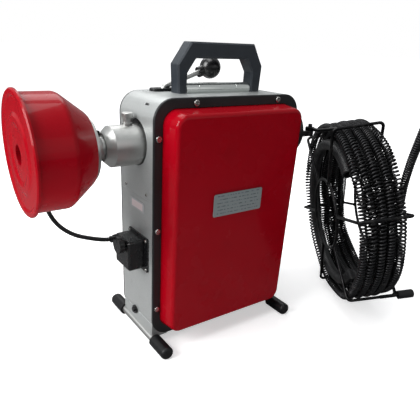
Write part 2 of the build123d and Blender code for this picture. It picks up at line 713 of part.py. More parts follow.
def capacitor_clip():
    z0 = BODY_Z + FRAME_WALL
    strap = tube_x(92, 106, 21.2, 20.02, 25, 60)
    return strap + block(92, 106, 18, 32, z0, 60 - 20.6) - rod_x(80, 120, 25, 60, 20.02)


# ---- front panel fittings --------------------------------------------------------------
KNOB_Y = -15.0
KNOB_Z = 203.0
KNOB_R = 15.5
KNOB_SHAFT_R = 3.5
BOX_FRONT_X = -186.0
GLAND = (BOX_FRONT_X, 10.5, 204.0)
CORD_R = 3.8
HANK = (60.0, 189.0)    # middle of the coiled cord
HANK_R = 62.0
HANK_STEP = 8.0         # height between turns


def switch_box():
    flange = block(FRONT_X - 3, FRONT_X, BOX_Y - 36, BOX_Y + 36, BOX_Z - 33, BOX_Z + 33)
    flange = fillet(flange.edges().filter_by(Axis.X), 4)
    body = block(BOX_FRONT_X, FRONT_X - 2, BOX_Y - 26, BOX_Y + 29, BOX_Z - 27, BOX_Z + 29)
    body = fillet(body.edges().filter_by(Axis.X), 5)
    body = chamfer(body.faces().sort_by(Axis.X)[0].edges(), 3)
    box = flange + body
    box += rod_x(BOX_FRONT_X - 3, BOX_FRONT_X + 1, KNOB_Y, KNOB_Z, 8)
    box -= block(BOX_FRONT_X + 3, FRONT_X + 1, BOX_Y - 22, BOX_Y + 23, BOX_Z - 20, BOX_Z + 26)
    box -= rod_x(BOX_FRONT_X - 5, BOX_FRONT_X + 9, KNOB_Y, KNOB_Z, KNOB_SHAFT_R + RUN_FIT)
    box -= rod_x(BOX_FRONT_X - 5, BOX_FRONT_X + 6, GLAND[1], GLAND[2], 5)
    for y, z in BOX_SCREWS:
        box -= rod_x(FRONT_X - 5, FRONT_X + 1, y, z, BOX_SCREW_R)
    return box


def switch_core():
    """Rotary switch contact block inside the box."""
    core = block(BOX_FRONT_X + 5, BOX_FRONT_X + 26, KNOB_Y - 14, KNOB_Y + 14, KNOB_Z - 30, KNOB_Z + 5)
    return core - rod_x(-190, -150, KNOB_Y, KNOB_Z, KNOB_SHAFT_R + RUN_FIT)


def switch_knob():
    grip = rod_x(BOX_FRONT_X - 13, BOX_FRONT_X - 3.4, KNOB_Y, KNOB_Z, KNOB_R)
    for k in range(12):
        turn = math.radians(30 * k)
        y = KNOB_Y + (KNOB_R + 1.2) * math.cos(turn)
        z = KNOB_Z + (KNOB_R + 1.2) * math.sin(turn)
        grip -= rod_x(-220, -180, y, z, 2.1)
    grip = grip + rod_x(BOX_FRONT_X - 5, -163, KNOB_Y, KNOB_Z, KNOB_SHAFT_R)
    pointer = block(BOX_FRONT_X - 14, BOX_FRONT_X - 12, KNOB_Y - 0.8, KNOB_Y + 0.8, KNOB_Z + 3, KNOB_Z + 13)
    return grip - pointer


def cord_gland():
    x, y, z = GLAND
    nut = Pos(x - 6, y, z) * Rot(0, 90, 0) * extrude(RegularPolygon(8.5, 6), 6)
    nut += rod_x(x - 13, x - 5, y, z, 6.2)
    nut += rod_x(x, x + 5, y, z, 4.9)
    return nut - rod_x(x - 20, x + 10, y, z, CORD_R + 0.05)


def power_cord():
    """Mains lead: forward past the drum, back behind the housing and down to a hank."""
    x, y, z = GLAND
    points = [
        (x + 4, y, z), (x - 14, y + 1, z), (-235, 20, 210.5), (-256, 30, 217), (-277.7, 42, 233),
        (-293, 48, 262), (-292, 66, 302), (-262, 96, 330), (-217, 112, 345), (-173, 113, 352),
        (-125, 113, 346), (-80, 116, 326), (-40, 130, 250), (-14, 144, 120), (-2, 150, 30),
        (HANK[0] - 28, HANK[1] - HANK_R - 1, 4.0),
    ]
    return smooth_rod(points, CORD_R, (-1, 0, 0), (1, 0, 0))


def cord_hank():
    """Spare cord coiled on the floor in three turns."""
    turns = []
    for k in range(3):
        turns.append(Pos(HANK[0], HANK[1], 12.2 + HANK_STEP * k) * Torus(HANK_R - 2 * k, CORD_R))
    return turns


def cord_tie():
    y = HANK[1] - HANK_R + 2
    tie = block(HANK[0] - 5, HANK[0] + 5, y - 8, y + 9, 6.8, 34)
    hole = block(HANK[0] - 9, HANK[0] + 9, y - 6.8, y + 7.8, 8.0, 32.8)
    return fillet(tie.edges().filter_by(Axis.X), 3) - hole


def plug_middle():
    return HANK[0] + 10, HANK[1] + HANK_R + 26


def power_plug():
    x, y = plug_middle()
    body = block(x - 20, x + 20, y - 17, y + 17, 3, 37)
    body = fillet(body.edges(), 7)
    body += rod_x(x - 44, x - 18, y, 12, 6.5)
    for dz in (-9.5, 9.5):
        body += rod_x(x + 18, x + 39, y, 20 + dz, 2.4)
    return body


def plug_lead():
    """Tail of the cord from the hank to the plug."""
    x, y = plug_middle()
    start = HANK[0] - HANK_R - 5
    points = [(start, HANK[1] - 10, 12), (start + 1, y - 26, 10), (x - 44, y, 12)]
    return smooth_rod(points, CORD_R, (0, 1, 0), (1, 0, 0))


def reset_button():
    button = rod_x(FRONT_X - 6.5, FRONT_X + 10, RESET_Y, RESET_Z, RESET_R)
    return fillet(circle_edges(button, FRONT_X - 6.5, RESET_R), 1.4)


def breaker():
    """Overload breaker body with its threaded neck and ring nut."""
    can = block(FRONT_X + 13, FRONT_X + 23, RESET_Y - 7, RESET_Y + 7, RESET_Z - 6, RESET_Z + 6)
    neck = rod_x(FRONT_X - 3, FRONT_X + 14, RESET_Y, RESET_Z, RESET_NECK_R)
    nut = rod_x(FRONT_X - 3, FRONT_X, RESET_Y, RESET_Z, 8.5)
    whole = can + neck + nut
    return whole - rod_x(FRONT_X - 5, FRONT_X + 18, RESET_Y, RESET_Z, RESET_R + RUN_FIT)


def service_plate():
    """Thin blank plate on the front wall."""
    plate = block(FRONT_X - 0.6, FRONT_X, -30, 22, 257, 276)
    return fillet(plate.edges().filter_by(Axis.X), 4)


# ---- feet ------------------------------------------------------------------------------
CAP_LENGTH = 50.0


def foot_bar(sx):
    return rod_y(-FOOT_HALF + 5, FOOT_HALF - 5, sx * FOOT_X, FOOT_R - FOOT_FLAT, FOOT_BAR_R)


def foot_caps(sx):
    caps = []
    z = FOOT_R - FOOT_FLAT
    for side in (-1, 1):
        y0 = side * (FOOT_HALF - CAP_LENGTH)
        y1 = side * FOOT_HALF
        cap = rod_y(min(y0, y1), max(y0, y1), sx * FOOT_X, z, FOOT_R)
        tip = cap.faces().sort_by(Axis.Y)[-1 if side > 0 else 0]
        cap = fillet(tip.edges(), 6)
        cap -= rod_y(-FOOT_HALF + 5, FOOT_HALF - 5, sx * FOOT_X, z, FOOT_BAR_R)
        cap -= block(sx * FOOT_X - 20, sx * FOOT_X + 20, -200, 200, -5, 0)
        caps.append(cap)
    return caps


# ---- rear guide ------------------------------------------------------------------------
HOOK_X = REAR_X + 70.0
HOOK_Y = -36.0
HOOK_Z = SPINDLE_Z + 8
HOOK_R = 4.0
NIPPLE_R = 23.95
SPIGOT_R = 20.0         # root of the nipple, inside the collar
SPIGOT_END = 16.0
NIPPLE_END = 58.0
NIPPLE_BORE_R = 18.0


def rear_collar():
    """Black collar on the rear wall, open around the nipple for the end of the guide hose."""
    ring = turned([
        (REAR_X, SPIGOT_R + RUN_FIT), (REAR_X, 50), (REAR_X + 8, 50), (REAR_X + 12, 46),
        (REAR_X + 42, 46), (REAR_X + 46, 42), (REAR_X + 46, 30), (REAR_X + SPIGOT_END, 30),
        (REAR_X + SPIGOT_END, SPIGOT_R + RUN_FIT),
    ])
    for k in range(4):
        turn = math.radians(45 + 90 * k)
        ring -= rod_x(REAR_X - 1, REAR_X + 60, 47 * math.cos(turn), SPINDLE_Z + 47 * math.sin(turn), 1.5)
    # cast lug with an upright stud for the carrier's eye
    ring += block(REAR_X + 40, HOOK_X + 4, HOOK_Y - 5, HOOK_Y + 5, HOOK_Z - 14, HOOK_Z - 4)
    ring += rod_z(HOOK_Z - 14, HOOK_Z - 4, HOOK_X, HOOK_Y, 8)
    return ring + rod_z(HOOK_Z - 6, HOOK_Z + 9, HOOK_X, HOOK_Y, HOOK_R)


def hose_nipple():
    """Steel nipple that the guide hose pushes on to, with a narrower root in the collar."""
    root = REAR_X + SPIGOT_END
    return turned([
        (REAR_X + 0.5, NIPPLE_BORE_R), (REAR_X + 0.5, SPIGOT_R), (root, SPIGOT_R), (root, NIPPLE_R),
        (REAR_X + NIPPLE_END - 2, NIPPLE_R), (REAR_X + NIPPLE_END, NIPPLE_R - 2),
        (REAR_X + NIPPLE_END, NIPPLE_BORE_R),
    ])


# ---- drum ------------------------------------------------------------------------------
MOUTH_R = 15.0
MOUTH_DEPTH = 23.0


def drum_bowl():
    """Spun steel bowl: straight wall, round shoulder and cone down to the neck."""
    outer = turned([
        (-337, 0), (-337, DRUM_R), (-281, DRUM_R), (DRUM_BACK_X, DRUM_NECK_R), (DRUM_BACK_X, 0),
    ])
    outer = fillet(circle_edges(outer, -281, DRUM_R), 16)
    outer = fillet(circle_edges(outer, DRUM_BACK_X, DRUM_NECK_R), 4)
    inner = turned([
        (-340, 0), (-340, DRUM_R - 2), (-282, DRUM_R - 2), (DRUM_BACK_X - 2, DRUM_NECK_R - 2.6),
        (DRUM_BACK_X - 2, 0),
    ])
    inner = fillet(circle_edges(inner, -282, DRUM_R - 2), 14)
    bowl = outer - inner
    bowl -= rod_x(-250, -230, 0, SPINDLE_Z, 20)
    for y, z in flange_bolts():
        bowl -= rod_x(-250, -230, y, z, 3)
    return bowl


def flange_bolts():
    spots = []
    for k in range(4):
        turn = math.radians(45 + 90 * k)
        spots.append((36 * math.cos(turn), SPINDLE_Z + 36 * math.sin(turn)))
    return spots


def drum_front():
    """Spun front disc with a rolled lip, a low raised ring and a rolled-in cable mouth."""
    x = DRUM_FACE_X
    return turned([
        (x + MOUTH_DEPTH, MOUTH_R), (x + 1, MOUTH_R), (x + 1, 18), (x + 2, 38), (x, 46), (x, 54),
        (x + 2, 60), (x + 2, 80), (x, 84), (x, DRUM_LIP_R - 2), (x + 2, DRUM_LIP_R),
        (x + 5, DRUM_LIP_R), (x + 5, DRUM_R + 0.05), (x + 4, DRUM_R + 0.05), (x + 4, 84), (x + 4, 80),
        (x + 4, 60), (x + 2.2, 54), (x + 2.2, 46), (x + 4, 38), (x + 3.2, MOUTH_R + 2),
        (x + MOUTH_DEPTH, MOUTH_R + 2),
    ])


HUB_R = 22.5
WAIST_R = 17.5
SHOULDER_X = -210.5
CLAMP_SCREW_X = -218.5


def drum_flange():
    """Steel flange, tapered hub, waist and stepped shank that carry the drum."""
    return turned([
        (DRUM_BACK_X, 0), (DRUM_BACK_X, 50.6), (-235, 50.6), (-233.5, 49), (-233.5, HUB_R),
        (-216, WAIST_R), (SHOULDER_X, WAIST_R), (SHOULDER_X, 20), (-151, 20), (-151, SHANK_R),
        (-1, SHANK_R), (0, 10), (0, 0),
    ])


def drum_bolts():
    bolts = []
    for y, z in flange_bolts():
        head = Pos(-246.5, y, z) * Rot(0, 90, 0) * extrude(RegularPolygon(5.8, 6), 4.5)
        bolts.append(head + rod_x(-243, DRUM_BACK_X, y, z, 2.95))
    return bolts


def drum_clamp_screw():
    """Small black screw standing in the waist of the hub."""
    screw = rod_z(SPINDLE_Z + 12, SPINDLE_Z + 26.5, CLAMP_SCREW_X, 0, 3.6) - drum_flange()
    return screw - Pos(CLAMP_SCREW_X, 0, SPINDLE_Z + 24) * extrude(RegularPolygon(2.2, 6), 5)


DRUM_CABLE_R = 4.0


def drum_cable():
    """Small drain cable wound inside the drum."""
    rings = []
    for layer in range(2):
        for column in range(5):
            x = -328 + 8.4 * column
            r = DRUM_R - 2.5 - DRUM_CABLE_R - 8.4 * layer
            rings.append(Pos(x, 0, SPINDLE_Z) * Rot(0, 90, 0) * Torus(r, DRUM_CABLE_R))
    return rings


# ---- cable carrier ---------------------------------------------------------------------
turn_rad = math.radians(CARRIER_TURN)
lean_rad = math.radians(CARRIER_LEAN)
CARRIER_PLANE = Plane(
    origin=CARRIER,
    x_dir=(-math.sin(turn_rad), math.cos(turn_rad), 0),
    z_dir=(
        math.cos(lean_rad) * math.cos(turn_rad),
        math.cos(lean_rad) * math.sin(turn_rad),
        math.sin(lean_rad),
    ),
)
FIRST_COLUMN = -36.0    # axial place of the coil's first column
HOOK_BAR = 1            # upper bar that carries the hanging hook
FOOT_BARS = (3, 4)      # two lowest bars, which end in rubber caps
FOOT_REACH = 31.0       # length of those ends past the cage
HOSE_R = 11.0
HOSE_RING_R = 146.0
HOSE_Z = -33.0
HOSE_START = -142.0     # ends of the open loop, degrees
HOSE_END = 124.0


def on_carrier(shape):
    return CARRIER_PLANE.location * shape


def bar_angle(k):
    return math.radians(CAGE_PHASE + 360 / CAGE_BARS * k)


def carrier_frame():
    """Welded wire cage: U-shaped bars between two hoops, with the hanging hook."""
    cage = Pos(0, 0, -CAGE_HALF) * Torus(CAGE_HOOP_R, CAGE_WIRE_R)
    cage += Pos(0, 0, CAGE_HALF) * Torus(CAGE_FAR_HOOP_R, CAGE_WIRE_R)
    for k in range(CAGE_BARS):
        c, s = math.cos(bar_angle(k)), math.sin(bar_angle(k))
        points = [
            (CAGE_HOOP_R * c, CAGE_HOOP_R * s, -CAGE_HALF), (CAGE_R * c, CAGE_R * s, -CAGE_HALF),
            (CAGE_R * c, CAGE_R * s, CAGE_HALF), (CAGE_FAR_HOOP_R * c, CAGE_FAR_HOOP_R * s, CAGE_HALF),
        ]
        cage += bent_rod(points, CAGE_WIRE_R, 9)
        if k in FOOT_BARS:
            cage += Pos(CAGE_R * c, CAGE_R * s, CAGE_HALF) * Cylinder(FOOT_ROD_R, 2 * FOOT_REACH)
    return on_carrier(cage) + carrier_hook()


def carrier_hook():
    """Eye around the collar's stud and the rod that joins it to an upper bar of the cage."""
    eye = rod_z(HOOK_Z - 3, HOOK_Z + 3, HOOK_X, HOOK_Y, 9)
    angle = bar_angle(HOOK_BAR)
    corner = Vector(CAGE_R * math.cos(angle), CAGE_R * math.sin(angle), -CAGE_HALF + 9)
    top = CARRIER_PLANE.from_local_coords(corner)
    points = [(HOOK_X, HOOK_Y - 6, HOOK_Z), (HOOK_X - 1, HOOK_Y - 24, HOOK_Z), (top.X, top.Y, top.Z)]
    hook = eye + bent_rod(points, 3.5, 8)
    return hook - rod_z(HOOK_Z - 10, HOOK_Z + 10, HOOK_X, HOOK_Y, HOOK_R + RUN_FIT)


def carrier_caps():
    caps = []
    for k in FOOT_BARS:
        c, s = CAGE_R * math.cos(bar_angle(k)), CAGE_R * math.sin(bar_angle(k))
        cap = Pos(c, s, CAGE_HALF + 19) * Cylinder(8.5, 30)
        cap = fillet(cap.edges().group_by(Axis.Z)[-1], 3)
        cap -= Pos(c, s, CAGE_HALF) * Cylinder(FOOT_ROD_R, 2 * FOOT_REACH)
        caps.append(on_carrier(cap))
    return caps


def drain_cables():
    """Closed rings of the cable's size: fewer layers in the columns next to the machine."""
    rings = []
    for column, layers in enumerate(COLUMN_LAYERS):
        z = FIRST_COLUMN + COLUMN_PITCH * column
        for layer in range(layers):
            r = COIL_OUT_R - COIL_PITCH * layer
            rings.append(on_carrier(Pos(0, 0, z) * Torus(r, CABLE_R)))
    return rings


def guide_hose():
    """Guide hose lying in an open loop inside the coil, with a ferrule at its upper end."""
    hose = Torus(HOSE_RING_R, HOSE_R, major_angle=HOSE_END - HOSE_START)
    hose = Pos(0, 0, HOSE_Z) * Rot(0, 0, HOSE_START) * hose
    last = math.radians(HOSE_END)
    arriving = Vector(-math.sin(last), math.cos(last), 0)
    end = Vector(HOSE_RING_R * math.cos(last), HOSE_RING_R * math.sin(last), HOSE_Z)
    end += arriving * 0.05
    ferrule = Plane(origin=end, z_dir=arriving) * Pos(0, 0, 7) * Cylinder(HOSE_R + 0.6, 14)
    ferrule -= Plane(origin=end, z_dir=arriving) * Pos(0, 0, 10) * Cylinder(HOSE_R - 3, 12)
    return [on_carrier(hose), on_carrier(ferrule)]


LOOSE_TIP = (-172.0, 214.0, 66.0)
LOOSE_HEADING = (-0.42, 0.9, 0.08)


def loose_end():
    """Free end of a cable, rising past the outer side of the cage."""
    path = [(-96, 8, 60), (-104, 42, 62), (-112, 84, 63), (-125, 122, 64), (-139, 153, 65), LOOSE_TIP]
    return on_carrier(smooth_rod(path, CABLE_R, (-0.15, 1, 0), LOOSE_HEADING))


def cable_coupling():
    """Slotted steel coupling on the loose end."""
    direction = Vector(*LOOSE_HEADING).normalized()
    start = Vector(*LOOSE_TIP) + direction * 0.2
    plug = Plane(origin=start, z_dir=direction) * Pos(0, 0, 14) * Cylinder(CABLE_R, 28)
    slot = Plane(origin=start, z_dir=direction) * Pos(0, 0, 25) * Box(5, 20, 8)
    return on_carrier(plug - slot)


def small_cable():
    """Small spare cable hanging in the middle of the carrier."""
    points = [(8, 138, 6), (17, 97, 0), (28, 49, 0), (40, 0, 0)]
    return on_carrier(smooth_rod(points, 4.5, (0.2, -1, -0.1), (0.24, -1, 0)))


# ---- write every node ------------------------------------------------------------------
save("frame_ring", frame_ring())
near, far = both_sides(bezel())
save("left_bezel", near)
save("right_bezel", far)
near, far = both_sides(side_cover())
save("left_cover", near)
save("right_cover", far)
screws = []
for spot_x, spot_z in BEZEL_SCREW_SPOTS:
    screws += both_sides(
        pan_screw_y(spot_x, spot_z, -FRAME_HALF - BEZEL_T, -1, 5.0, 1.95, 15)
    )
screws += [pan_screw_x(y, z, FRONT_X - 3, 3.0, 1.65, 10) for y, z in BOX_SCREWS]
screws += [pan_screw_x(y, SEAM_SCREW_Z, FRONT_X, 2.8, 1.65, 3.5) for y in SEAM_SCREW_Y]
save("pan_screws", *screws)
save("carry_handle", handle())
save("handle_bolts", *handle_bolts())
save("top_bar", top_bar())

save("lever_shaft", lever_shaft())
save("shift_fork", *shift_fork())
save("clutch_lever", lever_rod())
save("lever_ball", lever_ball())
save("lever_gaiter", lever_gaiter())

save("spindle", spindle())
for number in range(3):
    save("clutch_jaw_" + str(number + 1), jaw(number))
save("clamp_cone", clamp_cone())
save("shift_collar", shift_collar())
inner_f, outer_f, balls_f = ball_bearing(FRONT_BEARING_X, BEARING_BORE_R, BEARING_OUT_R, BEARING_W, 4.2, 10)
inner_r, outer_r, balls_r = ball_bearing(REAR_BEARING_X, BEARING_BORE_R, BEARING_OUT_R, BEARING_W, 4.2, 10)
save("spindle_bearing_inner", inner_f, inner_r, *balls_f, *balls_r)
save("spindle_bearing_outer", outer_f, outer_r)
inner_c, outer_c, balls_c = ball_bearing(GROOVE_X, 25, 32.5, 10, 2.2, 14)
save("release_bearing_inner", inner_c, *balls_c)
save("release_bearing_outer", outer_c)
save("bearing_housings", front_housing(), rear_housing())
save("nose_barrel", nose_barrel())
save("lock_pin_housing", lock_pin_housing())
save("lock_pin", lock_pin())
save("lock_pin_spring", lock_pin_spring())
save("drum_sleeve", drum_sleeve())

save("spindle_pulley", spindle_pulley())
save("motor_pulley", motor_pulley())
save("drive_belt", drive_belt())
save("motor_casing", motor_housing(), motor_end(-1), motor_end(1))
save("motor_stator", motor_stator(), *stator_windings())
save("motor_rotor", rotor_core(), motor_shaft())
save("cooling_fan", cooling_fan())
save("motor_cradle", motor_cradle(), *cradle_bolts())
save("start_capacitor", capacitor(), capacitor_clip())

save("switch_box", switch_box(), switch_core())
save("switch_knob", switch_knob())
cord = power_cord()
lead = plug_lead()
save("power_cord", cord, lead, *cord_hank())
save("power_plug", power_plug() - lead, cord_gland() - cord, cord_tie())
save("reset_button", reset_button())
save("overload_breaker", breaker())
save("rating_plates", label_plate(), service_plate())

save("foot_bars", foot_bar(-1), foot_bar(1))
save("foot_caps", *foot_caps(-1), *foot_caps(1))
save("rear_collar", rear_collar())
save("hose_nipple", hose_nipple())

save("drum_bowl", drum_bowl())
save("drum_front", drum_front())
save("drum_flange", drum_flange())
save("drum_bolts", *drum_bolts(), drum_clamp_screw())
save("drum_cable", *drum_cable())

save("carrier_frame", carrier_frame())
save("carrier_caps", *carrier_caps())
save("drain_cables", *drain_cables(), loose_end(), small_cable())
save("guide_hose", *guide_hose())
save("cable_coupling", cable_coupling())
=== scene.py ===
import math

import bpy
import numpy as np
from mathutils import Matrix, Vector

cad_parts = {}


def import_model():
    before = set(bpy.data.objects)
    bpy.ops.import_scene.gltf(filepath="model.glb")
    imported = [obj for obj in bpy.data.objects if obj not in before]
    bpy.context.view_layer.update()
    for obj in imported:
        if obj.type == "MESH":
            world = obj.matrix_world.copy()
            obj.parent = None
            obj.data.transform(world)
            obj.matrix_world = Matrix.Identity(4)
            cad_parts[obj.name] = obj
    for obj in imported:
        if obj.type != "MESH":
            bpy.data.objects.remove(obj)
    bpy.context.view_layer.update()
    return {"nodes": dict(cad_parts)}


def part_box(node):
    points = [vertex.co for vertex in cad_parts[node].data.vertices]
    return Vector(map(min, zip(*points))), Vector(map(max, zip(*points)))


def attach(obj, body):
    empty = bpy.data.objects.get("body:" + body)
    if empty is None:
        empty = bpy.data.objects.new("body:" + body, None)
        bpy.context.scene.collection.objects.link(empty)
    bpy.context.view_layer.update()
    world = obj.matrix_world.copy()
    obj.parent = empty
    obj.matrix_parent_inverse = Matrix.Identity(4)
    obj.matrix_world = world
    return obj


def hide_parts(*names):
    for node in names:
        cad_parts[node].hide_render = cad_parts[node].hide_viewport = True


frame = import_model()
nodes = frame["nodes"]
MM = 0.001
SPINDLE_Z = 0.371
MOTOR_X, MOTOR_Z = -0.052, 0.088
CORE_HALF = 0.0281      # half length of the motor's core
CORE_BORE_R = 0.0285    # the windings lie outside this radius
NOISE_RANGE = (0.3, 0.7)
# The machine is drawn around the middle of its housing, which stands off the shared origin.
low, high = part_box("frame_ring")
HOME = ((low[0] + high[0]) / 2, (low[1] + high[1]) / 2, 0.0)


# ---- shader helper ---------------------------------------------------------------------
class Look:
    """One node material. Methods return sockets, so they nest."""

    def __init__(self, name):
        self.material = bpy.data.materials.new(name)
        self.material.use_nodes = True
        self.tree = self.material.node_tree
        self.tree.nodes.clear()
        out = self.node("ShaderNodeOutputMaterial")
        self.skin = self.node("ShaderNodeBsdfPrincipled")
        self.tree.links.new(self.skin.outputs[0], out.inputs["Surface"])
        shift = self.node("ShaderNodeVectorMath", operation="SUBTRACT")
        self.tree.links.new(self.node("ShaderNodeTexCoord").outputs["Object"], shift.inputs[0])
        shift.inputs[1].default_value = HOME
        self.place = shift.outputs[0]

    def node(self, kind, **values):
        n = self.tree.nodes.new(kind)
        for key, value in values.items():
            setattr(n, key, value)
        return n

    def put(self, value, socket):
        """Link a socket or set a plain value."""
        if isinstance(value, bpy.types.NodeSocket):
            self.tree.links.new(value, socket)
        elif isinstance(value, tuple) and len(value) == 3 and len(socket.default_value) == 4:
            socket.default_value = (*value, 1.0)
        else:
            socket.default_value = value

    def set(self, **values):
        for key, value in values.items():
            self.put(value, self.skin.inputs[key.replace("_", " ")])
        return self

    def calc(self, operation, a, b=0.0, c=0.0):
        n = self.node("ShaderNodeMath", operation=operation)
        for value, socket in zip((a, b, c), n.inputs):
            self.put(value, socket)
        return n.outputs[0]

    def axes(self, vector=None):
        n = self.node("ShaderNodeSeparateXYZ")
        self.put(vector or self.place, n.inputs[0])
        return n.outputs[0], n.outputs[1], n.outputs[2]

    def vector(self, x, y, z):
        n = self.node("ShaderNodeCombineXYZ")
        for value, socket in zip((x, y, z), n.inputs):
            self.put(value, socket)
        return n.outputs[0]

    def stretch(self, scale, vector=None):
        n = self.node("ShaderNodeMapping")
        self.put(vector or self.place, n.inputs["Vector"])
        n.inputs["Scale"].default_value = scale
        return n.outputs[0]

    def noise(self, scale, detail=3.0, rough=0.5, vector=None):
        n = self.node("ShaderNodeTexNoise")
        self.put(vector or self.place, n.inputs["Vector"])
        n.inputs["Scale"].default_value = scale
        n.inputs["Detail"].default_value = detail
        n.inputs["Roughness"].default_value = rough
        return n.outputs["Fac"]

    def cells(self, scale, vector=None, feature="F1"):
        n = self.node("ShaderNodeTexVoronoi", feature=feature)
        self.put(vector or self.place, n.inputs["Vector"])
        n.inputs["Scale"].default_value = scale
        return n.outputs["Distance"]

    def ramp(self, fac, *stops):
        n = self.node("ShaderNodeValToRGB")
        self.put(fac, n.inputs[0])
        elements = n.color_ramp.elements
        while len(elements) < len(stops):
            elements.new(0.5)
        for element, (position, colour) in zip(elements, stops):
            element.position = position
            if not isinstance(colour, tuple):
                colour = (colour, colour, colour)
            element.color = (*colour, 1.0)
        return n.outputs[0]

    def mix(self, fac, a, b):
        n = self.node("ShaderNodeMix", data_type="RGBA")
        self.put(fac, n.inputs[0])
        self.put(a, n.inputs[6])
        self.put(b, n.inputs[7])
        return n.outputs[2]

    def span(self, value, low, high, to_low=0.0, to_high=1.0):
        n = self.node("ShaderNodeMapRange")
        for v, socket in zip((value, low, high, to_low, to_high), n.inputs):
            self.put(v, socket)
        return n.outputs[0]

    def vary(self, noise, to_low, to_high):
        """Spread the usual range of a noise over two values."""
        return self.span(noise, *NOISE_RANGE, to_low, to_high)

    def patches(self, noise, low, high):
        """1 on the spots where the noise is above high, 0 where it is below low."""
        return self.ramp(noise, (low, 0.0), (high, 1.0))

    def over(self, base, mask, amount, colour):
        """Lay a colour over the base where the mask is 1."""
        return self.mix(self.calc("MULTIPLY", mask, amount), base, colour)

    def soft_edges(self, radius=0.5):
        """Normal with corners rounded by radius, in millimetres."""
        n = self.node("ShaderNodeBevel", samples=4)
        n.inputs["Radius"].default_value = radius * MM
        return n.outputs[0]

    def edge(self, radius=1.0, low=0.02, high=0.25):
        """1 near convex and concave corners, 0 on the flats."""
        dot = self.node("ShaderNodeVectorMath", operation="DOT_PRODUCT")
        self.put(self.soft_edges(radius), dot.inputs[0])
        self.put(self.node("ShaderNodeNewGeometry").outputs["Normal"], dot.inputs[1])
        return self.span(self.calc("SUBTRACT", 1.0, dot.outputs["Value"]), low, high)

    def bump(self, height, distance, strength=1.0, corner=0.5):
        n = self.node("ShaderNodeBump")
        n.inputs["Strength"].default_value = strength
        n.inputs["Distance"].default_value = distance * MM
        self.put(height, n.inputs["Height"])
        if corner:
            self.put(self.soft_edges(corner), n.inputs["Normal"])
        self.put(n.outputs[0], self.skin.inputs["Normal"])
        return self


# ---- materials -------------------------------------------------------------------------
def red_paint():
    s = Look("red_paint")
    tone = s.noise(7, 3)
    base = s.mix(tone, (0.29, 0.0005, 0.005), (0.36, 0.0005, 0.008))
    scuff = s.patches(s.noise(40, 4, 0.6, s.stretch((1, 1, 0.35))), 0.62, 0.78)
    base = s.over(base, scuff, 0.04, (0.46, 0.02, 0.03))
    # painted highlight: the edges and creases of the covers are drawn in a brighter red
    base = s.over(base, s.edge(1.6), 0.30, (0.72, 0.02, 0.03))
    rough = s.vary(s.noise(16, 4), 0.20, 0.32)
    s.set(Base_Color=base, Roughness=rough, Specular_IOR_Level=0.06)
    s.set(Coat_Weight=0.22, Coat_Roughness=0.06)
    return s.bump(s.noise(18, 2), 0.10, 0.25, 0.7)


def frame_cast():
    s = Look("frame_cast")
    base = s.mix(s.noise(9, 4), (0.41, 0.43, 0.425), (0.50, 0.52, 0.51))
    grain = s.noise(700, 2, 0.6)
    base = s.mix(s.span(grain, 0.35, 0.65, 0.0, 0.25), base, (0.66, 0.67, 0.68))
    stain = s.patches(s.noise(26, 5, 0.7), 0.60, 0.72)
    base = s.over(base, stain, 0.22, (0.25, 0.25, 0.25))
    base = s.over(base, s.edge(1.4), 0.55, (0.80, 0.81, 0.82))
    rough = s.vary(s.noise(40, 4), 0.34, 0.46)
    s.set(Base_Color=base, Metallic=0.55, Roughness=rough)
    return s.bump(s.calc("ADD", grain, s.calc("MULTIPLY", s.noise(60, 2), 2.0)), 0.10, 0.35, 0.8)


def black_bezel():
    s = Look("black_bezel")
    base = s.mix(s.noise(30, 4), (0.006, 0.007, 0.008), (0.013, 0.014, 0.016))
    base = s.over(base, s.edge(0.9), 0.5, (0.075, 0.08, 0.085))
    dust = s.patches(s.noise(90, 6, 0.8), 0.58, 0.75)
    base = s.over(base, dust, 0.2, (0.04, 0.042, 0.044))
    s.set(Base_Color=base, Roughness=s.vary(s.noise(55, 3), 0.36, 0.52))
    return s.bump(s.noise(900, 2), 0.05, 0.6, 0.6)


def screw_steel():
    s = Look("screw_steel")
    base = s.mix(s.noise(260, 4), (0.48, 0.47, 0.45), (0.72, 0.71, 0.69))
    stain = s.patches(s.noise(420, 4, 0.7), 0.52, 0.70)
    base = s.over(base, stain, 0.45, (0.20, 0.17, 0.13))
    s.set(Base_Color=base, Metallic=1.0, Roughness=s.vary(s.noise(600, 2), 0.18, 0.34))
    return s.bump(s.noise(1500, 2), 0.03, 0.5, 0.3)


